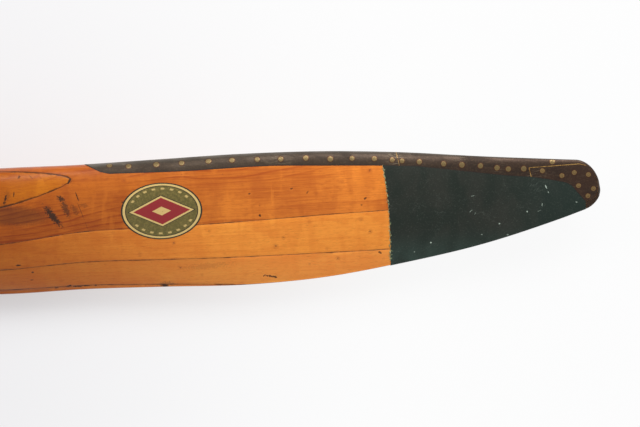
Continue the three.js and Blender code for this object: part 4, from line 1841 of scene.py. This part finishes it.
@dataclass
class SubAssembly:
    """A group of pieces that belong together. Each makes its pieces and dresses them."""

    body: str = "propeller"
    pieces: list[Piece] = field(default_factory=list, init=False)

    def keep(self, piece: Piece, finish: Finish, *nodes: str, sharp: float = 32.0) -> Piece:
        """Finishes one piece: smooth shading, material, body and the CAD nodes that it stands for.

        Args:
            piece: the mesh object.
            finish: what covers it.
            *nodes: the CAD nodes that it replaces.
            sharp: the angle, in degrees, above which an edge stays sharp.

        Returns:
            The same object.
        """
        smooth_between(piece, sharp)
        piece.data.materials.clear()
        piece.data.materials.append(finish.material())
        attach(piece, self.body)
        if nodes:
            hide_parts(*nodes)
        self.pieces.append(piece)
        log.info("%s: %d faces, rides on %s", piece.name, len(piece.data.polygons), self.body)
        return piece

    def on_both(self, piece: Piece, finish: Finish, node: str = "", sharp: float = 32.0) -> None:
        """Keeps a piece of blade a, whose name ends in _a, and its twin half a turn about the shaft.

        Args:
            piece: the piece on blade a.
            finish: what covers both.
            node: name of the CAD node that they replace, without its last letter.
            sharp: the angle, in degrees, above which an edge stays sharp.
        """
        twin = copy_of(piece, piece.name.removesuffix("_a") + "_b")
        twin.data.transform(HALF_TURN)
        for letter, one in (("a", piece), ("b", twin)):
            self.keep(one, finish, *([f"{node}_{letter}"] if node else []), sharp=sharp)


@dataclass
class LaminatedBlades(SubAssembly):
    """The wooden blank: five boards, carved to the blades' shape and let in for the brass."""

    joint: float = 0.06
    rebate: float = 0.6
    rebate_play: float = 0.15
    bore_radius: float = 33.65
    overhang: float = 10.0
    boards: tuple[VarnishedBirch, ...] = tuple(
        VarnishedBirch(f"board_{number}_varnish", "varnished_birch", linear(*light), linear(*dark), *figure)
        for number, light, dark, *figure in (
            (1, (240, 148, 62), (200, 104, 40), 34, -190, 2.6, 410),
            (2, (255, 166, 72), (240, 134, 52), -60, -150, 2.9, 1730, 0.7, 760.0),
            (3, (255, 162, 62), (224, 120, 38), 95, -170, 2.7, 2950, 0.5),
            (4, (246, 144, 50), (186, 88, 26), 18, -60, 2.8, 5210, 0.8, 780.0),
            (5, (255, 162, 34), (212, 116, 22), -40, -150, 2.5, 7040, 0.7, 640.0, 1.3, 0.85),
        )
    )

    def build(self, skin: Skin) -> None:
        """Carves the blank, cuts the rebates and holes, and slices it into boards.

        Args:
            skin: blade a's surface, from which the depth of the rebates comes.
        """
        blank = BLADE.solid("blank", 0.0)
        outlines = (OUTLINES.inboard_sheath(), OUTLINES.outboard_sheath(), OUTLINES.tip_plate())
        under, *others = [prism("column", grown(outline, self.rebate_play)) for outline in outlines]
        carve(under, Cut.JOIN, *others)
        carve(under, Cut.TAKE_AWAY, skin.solid(-self.rebate))
        carve(blank, Cut.TAKE_AWAY, under)
        under.data.transform(HALF_TURN)
        carve(blank, Cut.TAKE_AWAY, under)
        holes = [prism("bore", circle(self.bore_radius, 96))]
        for turn in BOLT_TURNS:
            centre = (BOLT_CIRCLE * math.cos(turn), BOLT_CIRCLE * math.sin(turn))
            holes.append(prism("hole", circle(BOLT_HOLE, 24, centre)))
        cutter = joined("holes", holes)
        carve(blank, Cut.TAKE_AWAY, cutter)
        reach = BLADE.tip + self.overhang
        for i, finish in enumerate(self.boards):
            low, high = (BLADE.wood_rear + count * BLADE.board_pitch for count in (i, i + 1))
            low += self.joint / 2 if i else -self.overhang
            high -= self.joint / 2 if i < BLADE.boards - 1 else -self.overhang
            slab = prism("slab", box(-reach, reach, 1.5 * BLADE.boss_radius), low, high)
            board = carve(copy_of(blank, f"birch_board_{i + 1}"), Cut.KEEP_SHARED, slab)
            self.keep(largest(board), finish, f"wood_board_{i + 1}")
            discard(slab)
        discard(blank, cutter, under, *others)


@dataclass
class BrassSheathing(SubAssembly):
    """Brass on the leading edges and the tips, its screws under solder spots, its solder beads and its rivets."""

    inner: float = -0.25
    outer: float = 0.25
    play: float = 0.12
    spot_radius: float = 3.7
    spot_height: float = 0.14
    rivet_radius: float = 3.4
    rivet_height: float = 0.2
    bead_width: float = 0.9
    bead_height: float = 0.24
    rear_shift: float = 1.0
    bright_rim: int = 10
    spots: tuple[Point2, ...] = (
        (506.3, 58.7), (528.2, 56.9), (560, 57.2), (588.9, 57.5), (619.7, 58.0), (646.6, 57.8), (675.4, 57.2),
        (702.2, 56.4), (731, 56.1), (758.9, 53.7), (783.8, 53.0), (809.2, 51.5), (829.5, 49.0), (840.7, 47.4),
        (860.4, 45.4), (888.1, 41.8), (909, 39.5), (930.2, 37.4), (949.2, 34.2), (962.1, 32.2), (979.8, 31.7),
        (1012.9, 38.0),
    )
    joint_x: float = 835.5
    rivets: tuple[Point2, ...] = (
        (1001.1, 28.2), (1023.3, 21.6), (1037.7, 24.4), (1053.8, 21.3), (1042, 9.2), (1059.1, 5), (1052.5, -3),
    )
    sheet: AgedBrass = AgedBrass("aged_brass_sheet", "aged_brass_sheath")
    plate: AgedBrass = AgedBrass(
        "tip_plate_brass", "aged_brass_plate", linear(74, 55, 43), linear(70, 50, 39), linear(48, 36, 29)
    )
    spot: BrassSpot = BrassSpot("solder_spot", "aged_brass_sheath")
    rivet: BrassSpot = BrassSpot("filed_rivet", "brass_rivet", linear(160, 130, 84), linear(128, 98, 58))
    solder: PlainMetal = PlainMetal("solder_bead", "aged_brass_sheath")
    filler: EdgeFiller = EdgeFiller("edge_filler", "aged_brass_sheath")

    def build(self, skin: Skin) -> None:
        """Makes the sheaths, plates, beads, spots and rivets of both blades.

        Args:
            skin: blade a's surface.
        """
        for name, outline in (("inboard", OUTLINES.inboard_sheath()), ("outboard", OUTLINES.outboard_sheath())):
            sheath = skin.cover(f"brass_sheath_{name}_a", grown(outline, -self.play), self.inner, self.outer)
            self.on_both(largest(sheath), self.sheet, f"leading_edge_sheath_{name}")
        self.plates(skin)
        self.beads(skin)
        rng = random.Random(11)
        for name, low, high in (("inboard", 0.0, self.joint_x), ("outboard", self.joint_x, BLADE.tip)):
            discs = []
            for side in Side:
                for x, y in [spot for spot in self.spots if low < spot[0] < high]:
                    size = self.spot_radius * rng.uniform(0.9, 1.08)
                    shift = 0.0 if side is Side.FRONT else self.rear_shift
                    discs.append(self.disc(skin, (x, y - shift), side, size, self.spot_height))
            self.on_both(joined(f"sheath_spots_{name}_a", discs), self.spot)
        for i, place in enumerate(self.rivets):
            parts = [self.disc(skin, place, side, self.rivet_radius, self.rivet_height) for side in Side]
            parts.append(self.shank(skin, place))
            self.on_both(joined(f"plate_rivet_{i + 1}_a", parts), self.rivet, f"tip_rivet_{i + 1}")

    def plates(self, skin: Skin) -> None:
        """Makes the two tip plates from one closed covering."""
        both = skin.cover("plates", grown(OUTLINES.tip_plate(), -self.play), self.inner, self.outer)
        for name, part in zip(("front", "rear"), sorted(separated(both), key=middle_height, reverse=True)):
            self.on_both(renamed(part, f"brass_tip_{name}_a"), self.plate, f"tip_plate_{name}")

    def beads(self, skin: Skin) -> None:
        """Makes the solder beads round the plates and at the joint, and the filler along the brass.

        Args:
            skin: blade a's surface.
        """
        rim = OUTLINES.rim()
        start = [OUTLINES.plate_points[0], OUTLINES.plate_start]
        joint = [(x, y + (0.4 if y < 42 else 0)) for x, y in OUTLINES.joint]
        edge = rim[: self.bright_rim]
        seams = (("plate_edge", edge, 1.0), ("plate_start", start, 1.2), ("sheath_joint", joint, 0.5))
        for name, path, share in seams:
            band = strip(divided(path, 2.0), self.bead_width * share)
            bead = skin.cover(f"solder_{name}_a", band, self.inner, self.outer + self.bead_height * share)
            self.on_both(bead, self.solder)
        inboard = [*OUTLINES.start[1:], *OUTLINES.inner(), OUTLINES.joint[0]]
        outboard = [*OUTLINES.outer()[:-1], *OUTLINES.plate()]
        for name, path in (("inboard", inboard), ("outboard", outboard)):
            band = strip(divided(path, 2.0), 0.95)
            edge = skin.cover(f"edge_filler_{name}_a", band, self.inner, self.outer + 0.03)
            self.on_both(edge, self.filler)

    def disc(self, skin: Skin, place: Point2, side: Side, radius: float, height: float) -> Piece:
        """A low dome that follows the brass.

        Args:
            skin: blade a's surface.
            place: x and y of its middle.
            side: which face of the blade.
            radius: the dome's radius.
            height: how far its middle stands above the brass.

        Returns:
            The closed mesh object, with each point's distance from the middle kept on it.
        """
        centre, out = skin.drop(*place, side)
        along = Vector((1, 0, 0)).cross(out).cross(out).normalized()
        across = out.cross(along).normalized()
        rings, sides = 6, 28
        points, shares = [centre + out * (self.outer + height)], [0.0]
        for ring in range(1, rings + 1):
            share = ring / rings
            for x, y in circle(1.0, sides):
                spot, _, _, _ = skin.tree.find_nearest(centre + (along * x + across * y) * radius * share)
                rise = height * (1 - share**2.6) + 0.02
                points.append(spot + out * (self.outer + rise))
                shares.append(share)
        count = len(points)
        points += [point - out * 0.35 for point in points[-sides:]]
        shares += [1.0] * sides
        faces = [(0, 1 + i, 1 + (i + 1) % sides) for i in range(sides)]
        faces += [*bands(rings + 1, sides, 1), range(count, count + sides)]
        disc = facing_out(mesh_object("disc", points, faces))
        disc.data.attributes.new("from_centre", "FLOAT", "POINT").data.foreach_set("value", shares)
        return disc

    def shank(self, skin: Skin, place: Point2) -> Piece:
        """The part of a rivet inside the blade, between its two heads.

        Args:
            skin: blade a's surface.
            place: x and y of its middle.

        Returns:
            The closed mesh object.
        """
        ends = [skin.drop(*place, side)[0].z + self.outer * side.value * 0.5 for side in Side]
        shank = prism("shank", circle(1.6, 16, place), min(ends), max(ends))
        values = [1.0] * len(shank.data.vertices)
        shank.data.attributes.new("from_centre", "FLOAT", "POINT").data.foreach_set("value", values)
        return shank


@dataclass
class FabricTips(SubAssembly):
    """Doped fabric on the blade tips, with a ragged inboard edge and loose threads."""

    inner: float = 0.05
    outer: float = 0.5
    threads: int = 64
    fabric: DopedFabric = DopedFabric("green_doped_fabric", "green_doped_fabric")
    thread: LooseThread = LooseThread("loose_linen_thread", "green_doped_fabric")

    def build(self, skin: Skin) -> None:
        """Makes the fabric and its frayed edge on both blades.

        Args:
            skin: blade a's surface.
        """
        rng = random.Random(5)
        outline = grown(OUTLINES.fabric(rng), -0.15)
        cover = skin.cover("doped_fabric_a", outline, self.inner, self.outer)
        self.on_both(largest(cover), self.fabric, "tip_fabric")
        self.on_both(self.frayed(skin, rng), self.thread)

    def frayed(self, skin: Skin, rng: random.Random) -> Piece:
        """Short loose threads along the fabric's inboard edge.

        Args:
            skin: blade a's surface.
            rng: where their places and bends come from.

        Returns:
            All the threads of blade a as one object.
        """
        edge = divided(curve_through(OUTLINES.fabric_points, 20)[1:], 110.0 / self.threads)
        inside = [point for point in edge if -67.0 < point[1] < 42.0]
        threads = []
        for side in Side:
            for x, y in inside:
                heading = math.pi / 2 + rng.gauss(0, 0.3) + (math.pi if rng.random() < 0.5 else 0)
                length = rng.uniform(1.2, 3.8)
                bend = rng.uniform(-0.4, 0.4)
                px, py = x + rng.uniform(-0.6, 0.5), y + rng.uniform(-0.8, 0.8)
                line = []
                for _ in range(6):
                    spot, out = skin.drop(px, py, side)
                    line.append(spot + out * (self.outer + 0.08 if px > x else 0.2))
                    px += math.cos(heading) * length / 5
                    py += math.sin(heading) * length / 5
                    heading += bend
                threads.append(tube("thread", line, rng.uniform(0.12, 0.24), 6))
        return joined("frayed_threads_a", threads)


@dataclass
class BladeDecals(SubAssembly):
    """One oval decal on the front of each blade."""

    inner: float = 0.04
    outer: float = 0.2
    decal: OvalDecal = OvalDecal("oval_decal", "decal_print")

    def build(self, skin: Skin) -> None:
        """Makes both decals.

        Args:
            skin: blade a's surface.
        """
        label = self.decal
        oval = [(label.x + label.length / 2 * x, label.y + label.height / 2 * y) for x, y in circle(1.0, 120)]
        film = skin.cover("decal", oval, self.inner, self.outer)
        front, rear = sorted(separated(film), key=middle_height, reverse=True)
        discard(rear)
        self.on_both(renamed(front, "blade_decal_a"), label, "decal")


@dataclass
class SteelHub(SubAssembly):
    """The hub body with its rear flange, the loose front flange and the snap ring."""

    barrel_radius: float = 33.35
    barrel_top: float = 163.1
    rear_boss: Point2 = (40.0, 12.0)
    flange_radius: float = 89.0
    flange_top: float = 21.5
    plate: Point2 = (133.1, 141.1)
    taper: Point2 = (25.0, 19.0)
    shelf: float = 131.1
    room_radius: float = 26.0
    groove: tuple[float, float, float] = (28.5, 138.7, 141.7)
    keyway: Point2 = (9.6, 3.2)
    ring: tuple[float, float, float] = (22.6, 28.2, 2.4)
    ring_opening: float = 34.0
    steel: TurnedSteel = TurnedSteel("hub_steel", "hub_steel")
    flange_steel: TurnedSteel = TurnedSteel("flange_steel", "hub_steel", linear(140, 140, 140), feed=0.8)
    spring_steel: PlainMetal = PlainMetal(
        "spring_steel", "hub_steel", linear(120, 120, 122), linear(70, 60, 50), 0.32, 1.0
    )

    def build(self) -> None:
        """Makes the three pieces."""
        self.keep(self.hub_body(), self.steel, "hub_body", sharp=28)
        self.keep(self.front_flange(), self.flange_steel, "front_flange", sharp=28)
        self.keep(self.snap_ring(), self.spring_steel, "snap_ring", sharp=28)

    @staticmethod
    def bolt_holes(low: float, high: float) -> Piece:
        """The cutters for all bolt holes, with countersunk mouths at both ends.

        Args:
            low: height of the plate's rear.
            high: height of its front.

        Returns:
            All the cutters as one object.
        """
        lip, mouth = 0.6, BOLT_HOLE + 1.6
        profile = [(0, low - 1), (mouth, low - 1), (BOLT_HOLE, low + lip)]
        profile += [(BOLT_HOLE, high - lip), (mouth, high + 1), (0, high + 1)]
        cutters = []
        for turn in BOLT_TURNS:
            cutters.append(turned("cutter", profile, 40))
            centre = (BOLT_CIRCLE * math.cos(turn) * MM, BOLT_CIRCLE * math.sin(turn) * MM, 0)
            cutters[-1].data.transform(Matrix.Translation(centre))
        return joined("bolt_holes", cutters)

    def hub_body(self) -> Piece:
        """The tapered barrel with its rear flange, turned from one forging, with a keyway in its bore.

        Returns:
            The closed mesh object.
        """
        boss, rear = self.rear_boss
        barrel, top = self.barrel_radius, self.barrel_top
        profile = [
            (0, 0), (boss - 1.5, 0), (boss, 1.5), (boss, rear - 2.5), (boss + 0.7, rear - 0.7), (boss + 2.5, rear),
            (self.flange_radius - 1.2, rear), (self.flange_radius, rear + 1.2),
            (self.flange_radius, self.flange_top - 0.8), (self.flange_radius - 0.8, self.flange_top),
            (barrel, self.flange_top), (barrel, top - 20.5), (barrel - 0.6, top - 19.9), (barrel - 0.6, top - 17.9),
            (barrel, top - 17.3), (barrel, top - 1.6), (barrel - 1.6, top), (0, top),
        ]
        body = turned("turned_steel_hub", profile)
        wide, narrow = self.taper
        slope = (wide - narrow) / self.shelf
        cone = [(0, -1), (wide + 1.6 + slope, -1), (wide - 0.1, 1.0), (narrow, self.shelf + 1), (0, self.shelf + 1)]
        groove, low, high = self.groove
        room = [
            (0, self.shelf), (self.room_radius, self.shelf), (self.room_radius, low), (groove, low), (groove, high),
            (self.room_radius, high), (self.room_radius, top - 1.2), (self.room_radius + 2.2, top + 1), (0, top + 1),
        ]
        width, depth = self.keyway
        key = prism("key", box(0, wide + depth, width / 2), -40, self.shelf + 6)
        key.data.transform(Matrix.Rotation(-math.atan(slope), 4, "Y"))
        limit = prism("limit", circle(60, 32), -50, self.shelf + 0.05)
        carve(key, Cut.KEEP_SHARED, limit)
        cutters = [turned("cone", cone), turned("room", room), key, self.bolt_holes(rear, self.flange_top)]
        carve(body, Cut.TAKE_AWAY, *cutters)
        discard(limit, *cutters)
        return body

    def front_flange(self) -> Piece:
        """The loose plate that the nuts draw against the wood.

        Returns:
            The closed mesh object.
        """
        low, high = self.plate
        inner, outer = self.barrel_radius + 0.3, self.flange_radius
        profile = [
            (inner, low + 0.6), (inner + 0.6, low), (outer - 0.6, low), (outer, low + 0.6), (outer, high - 1.8),
            (outer - 1.8, high), (inner + 1.0, high), (inner, high - 1.0),
        ]
        plate = turned("front_flange_plate", profile)
        holes = self.bolt_holes(low, high)
        carve(plate, Cut.TAKE_AWAY, holes)
        discard(holes)
        return plate

    def snap_ring(self) -> Piece:
        """The spring ring that keeps the captive nut in, with an eye at each end for pliers.

        Returns:
            The closed mesh object.
        """
        inner, outer, thick = self.ring
        low = (self.groove[1] + self.groove[2] - thick) / 2
        arc = math.radians(360 - self.ring_opening)
        turns = [arc * i / 90 for i in range(91)]
        outline = [(outer * math.cos(t), outer * math.sin(t)) for t in turns]
        outline += [(inner * math.cos(t), inner * math.sin(t)) for t in reversed(turns)]
        ring = prism("retaining_ring", outline, low, low + thick)
        middle = (inner + outer) / 2
        for turn in (0.09, arc - 0.09):
            hole = circle(1.25, 20, (middle * math.cos(turn), middle * math.sin(turn)))
            eye = prism("eye", hole, low - 1, low + thick + 1)
            carve(ring, Cut.TAKE_AWAY, eye)
            discard(eye)
        return eased(ring, 0.25)


@dataclass
class CaptiveNut(SubAssembly):
    """The hub nut, which turns in the barrel and pulls the hub onto and off the shaft's taper."""

    body: str = "captive_nut"
    bottom: float = 131.4
    height: float = 45.0
    flange: Point2 = (25.7, 7.0)
    radius: float = 22.0
    thread: Point2 = (14.0, 2.0)
    socket: Point2 = (18.0, 18.0)
    tommy_radius: float = 4.5
    tommy_drop: float = 8.0
    steel: TurnedSteel = TurnedSteel("nut_steel", "hub_steel", linear(128, 126, 120), rough=0.3, feed=0.6)

    def build(self) -> None:
        """Makes the nut with its thread, its socket and its four tommy-bar holes."""
        low, top = self.bottom, self.bottom + self.height
        flange, step = self.flange
        socket, depth = self.socket
        profile = [
            (0, low), (flange - 0.6, low), (flange, low + 0.6), (flange, low + step - 0.6), (flange - 0.6, low + step),
            (self.radius + 0.5, low + step), (self.radius, low + step + 0.5), (self.radius, top - 2.0),
            (self.radius - 1.5, top), (0, top),
        ]
        nut = turned("captive_hub_nut", profile)
        pocket = [
            (0, top - depth), (socket, top - depth), (socket, top - 1.0), (socket + 2.0, top + 1.0), (0, top + 1.0),
        ]
        bore, pitch = self.thread
        cutters = [
            turned("pocket", pocket),
            threaded("thread", bore + 1.1, pitch, 1.1, low - 1.5, top - depth + 1.0, 64),
            turned("mouth", [(0, low - 1), (bore + 2.4, low - 1), (bore + 0.4, low + 1), (0, low + 1)]),
        ]
        for i in range(2):
            bar = prism("bar", circle(self.tommy_radius, 32), -60, 60)
            turn = Matrix.Rotation(math.radians(45 + 90 * i), 4, "Z") @ Matrix.Rotation(math.pi / 2, 4, "Y")
            bar.data.transform(Matrix.Translation((0, 0, (top - self.tommy_drop) * MM)) @ turn)
            cutters.append(bar)
        carve(nut, Cut.TAKE_AWAY, *cutters)
        discard(*cutters)
        self.keep(nut, self.steel, "hub_nut", sharp=28)


@dataclass
class HubBolts(SubAssembly):
    """Eight hexagon-headed bolts with castle nuts and split pins."""

    radius: float = 6.35
    across: float = 19.0
    head: Point2 = (3.3, 11.7)
    end: float = 158.4
    nut: Point2 = (141.4, 155.4)
    castle: float = 5.0
    castle_radius: float = 9.0
    slot: float = 3.6
    pitch: float = 1.27
    pin_height: float = 152.9
    pin_wire: float = 0.62
    bolt_finish: PlainMetal = PlainMetal(
        "plated_bolt", "plated_bolt_steel", linear(168, 164, 148), linear(116, 104, 82), 0.34, 1.0, 0.5
    )
    nut_finish: PlainMetal = PlainMetal(
        "plated_nut", "plated_bolt_steel", linear(160, 156, 142), linear(104, 92, 72), 0.36, 1.0, 0.45
    )
    pin_finish: PlainMetal = PlainMetal(
        "split_pin_wire", "cotter_steel", linear(196, 194, 188), linear(140, 132, 120), 0.3, 1.0, 0.9
    )

    def build(self) -> None:
        """Makes one bolt, nut and pin, and sets a copy of each at every bolt hole."""
        patterns = (
            (self.bolt_shape(), "hex_bolt", self.bolt_finish, "hub_bolt"),
            (self.nut_shape(), "castellated_nut", self.nut_finish, "castle_nut"),
            (self.pin_shape(), "split_pin", self.pin_finish, "cotter_pin"),
        )
        for pattern, name, finish, node in patterns:
            for i, turn in enumerate(BOLT_TURNS):
                piece = copy_of(pattern, f"{name}_{i + 1}")
                piece.data.transform(Matrix.Translation((BOLT_CIRCLE * MM, 0, 0)))
                piece.data.transform(Matrix.Rotation(turn, 4, "Z"))
                self.keep(piece, finish, f"{node}_{i + 1}", sharp=30)
            discard(pattern)

    def hexagon(self, name: str, low: float, high: float, low_ease: float, high_ease: float) -> Piece:
        """A hexagon bar with turned-down corners.

        Args:
            name: the mesh object's name.
            low: height of its bottom.
            high: height of its top.
            low_ease: how much of the corners is turned off at the bottom.
            high_ease: how much is turned off at the top.

        Returns:
            The closed mesh object.
        """
        corner = self.across / math.sqrt(3)
        bar = prism(name, circle(corner, 6, start=math.pi / 6), low, high)
        limit = turned("limit", [
            (0, low), (corner - 1.8 * low_ease, low), (corner + 0.1, low + low_ease), (corner + 0.1, high - high_ease),
            (corner - 1.8 * high_ease, high), (0, high),
        ], 72)
        carve(bar, Cut.KEEP_SHARED, limit)
        discard(limit)
        return bar

    def pin_hole(self) -> Piece:
        """The cutter for the split pin's hole.

        Returns:
            The closed mesh object.
        """
        hole = prism("pin_hole", circle(1.7, 20), -30, 30)
        turn = Matrix.Rotation(math.pi / 2, 4, "Y")
        hole.data.transform(Matrix.Translation((0, 0, self.pin_height * MM)) @ turn)
        return hole

    def bolt_shape(self) -> Piece:
        """One bolt on the shaft axis, its thread cut as a helix.

        Returns:
            The closed mesh object.
        """
        low, high = self.head
        plain_end = self.nut[0] - 4.0
        bolt = turned("bolt", [
            (0, high - 0.5), (self.radius + 0.4, high - 0.5), (self.radius, high), (self.radius, plain_end),
            (self.radius - 0.7, plain_end + 0.8), (0, plain_end + 0.8),
        ], 48)
        head = self.hexagon("head", low, high, 0.9, 0.05)
        thread = threaded("thread", self.radius, self.pitch, 0.62, plain_end, self.end, 48)
        limit = turned("limit", [
            (0, plain_end - 1), (self.radius + 1, plain_end - 1), (self.radius + 1, self.end - 1.2 - 1),
            (self.radius - 1.2, self.end), (0, self.end),
        ], 48)
        carve(thread, Cut.KEEP_SHARED, limit)
        hole = self.pin_hole()
        for part, cut in ((head, Cut.JOIN), (thread, Cut.JOIN), (hole, Cut.TAKE_AWAY)):
            carve(bolt, cut, part)
            discard(part)
        discard(limit)
        return bolt

    def nut_shape(self) -> Piece:
        """One castle nut on the shaft axis.

        Returns:
            The closed mesh object.
        """
        low, top = self.nut
        shoulder = top - self.castle
        nut = self.hexagon("nut", low, shoulder, 0.5, 0.8)
        crown = turned("crown", [
            (0, low + 1), (self.castle_radius, low + 1), (self.castle_radius, top - 0.7),
            (self.castle_radius - 0.7, top), (0, top),
        ], 72)
        carve(nut, Cut.JOIN, crown)
        bore = self.radius + 0.15
        cutters = [crown, turned("bore", [
            (0, low - 1), (bore + 1.6, low - 1), (bore, low + 0.8),
            (bore, top - 0.8), (bore + 1.6, top + 1), (0, top + 1),
        ], 48)]
        for i in range(3):
            slot = prism("slot", box(-20, 20, self.slot / 2), shoulder, top + 2)
            slot.data.transform(Matrix.Rotation(math.radians(60 * i), 4, "Z"))
            cutters.append(slot)
        carve(nut, Cut.TAKE_AWAY, *cutters[1:])
        discard(*cutters)
        return nut

    def pin_shape(self) -> Piece:
        """One split pin on the shaft axis: an eye outside, one leg bent over the bolt and one down the nut.

        Returns:
            The closed mesh object.
        """
        wire, up = self.pin_wire, self.pin_height
        arc = np.linspace(-math.radians(140), math.radians(140), 15)
        loop = [(11.9 + 1.75 * math.cos(turn), 1.75 * math.sin(turn)) for turn in arc]
        below = [(-10.55, -7.4), (-10.5, -4.0), (-10.3, -2.0), (-9.6, -wire - 0.15), (-8.0, -wire)]
        above = [(-8.0, wire), (-9.8, wire + 0.2), (-10.7, 2.4), (-9.9, 5.6), (-7.6, 6.4), (-4.6, 6.3)]
        path = [*below, (6.0, -wire), (9.0, -wire), *loop, (9.0, wire), (6.0, wire), *above]
        return tube("pin", [Vector((x, 0.0, z + up)) for x, z in path], wire, 12, smooth_steps=3)


@dataclass
class Studio:
    """The floor, the soft lights and the camera."""

    view_centre: Point2 = (744.0, -8.0)
    view_width: float = 736.0
    view_turn: float = 2.862
    distance: float = 5200.0
    blade_height: float = 75.0
    sky: float = 0.4

    def build(self) -> None:
        """Makes the floor, the world, the lights and the camera."""
        floor = mesh_object("studio_floor", [(x, y, -1) for x, y in box(-9000, 9000, 9000)], [(0, 1, 2, 3)])
        floor.data.materials.append(StudioFloor("studio_floor_paper", "").material())
        world = bpy.data.worlds.new("studio_sky")
        bpy.context.scene.world = world
        world.use_nodes = True
        background = world.node_tree.nodes["Background"]
        background.inputs["Color"].default_value = (0.97, 0.985, 1.0, 1.0)
        background.inputs["Strength"].default_value = self.sky
        self.lamp("key_light", (1700, 1700, 2300), (800, 0, 60), 1800, 75.0)
        self.lamp("fill_light", (-2000, 1500, 3000), (-300, 0, 60), 2400, 60.0)
        self.camera()
        bpy.context.scene.view_settings.view_transform = "Standard"
        bpy.context.scene.view_settings.look = "None"

    def lamp(self, name: str, place: tuple, aim: tuple, size: float, power: float) -> None:
        """Adds a square soft light.

        Args:
            name: the light's name.
            place: where it hangs, in millimetres.
            aim: what it points at.
            size: the length of its sides.
            power: its power in watts.
        """
        data = bpy.data.lights.new(name, "AREA")
        data.size = size * MM
        data.energy = power
        lamp = bpy.data.objects.new(name, data)
        lamp.location = Vector(place) * MM
        lamp.rotation_euler = (Vector(place) - Vector(aim)).to_track_quat("Z", "Y").to_euler()
        bpy.context.scene.collection.objects.link(lamp)

    def camera(self) -> None:
        """Sets the camera straight above blade a, turned a little so that the blade rises to the right."""
        data = bpy.data.cameras.new("view")
        data.sensor_width = 36.0
        data.lens = data.sensor_width * self.distance / self.view_width
        data.clip_end = 100.0
        view = bpy.data.objects.new("view", data)
        x, y = self.view_centre
        view.location = Vector((x, y, self.blade_height + self.distance)) * MM
        view.rotation_euler = (0, 0, -math.radians(self.view_turn))
        bpy.context.scene.collection.objects.link(view)
        bpy.context.scene.camera = view


def main() -> None:
    logging.basicConfig(level=logging.INFO, format="%(name)s %(message)s")
    Studio().build()
    skin = Skin()
    for assembly in (LaminatedBlades(), BrassSheathing(), FabricTips(), BladeDecals()):
        assembly.build(skin)
        log.info("%s: %d pieces", type(assembly).__name__, len(assembly.pieces))
    skin.finish()
    for assembly in (SteelHub(), CaptiveNut(), HubBolts()):
        assembly.build()
        log.info("%s: %d pieces", type(assembly).__name__, len(assembly.pieces))
    bpy.context.view_layer.update()


if __name__ == "__main__":
    main()
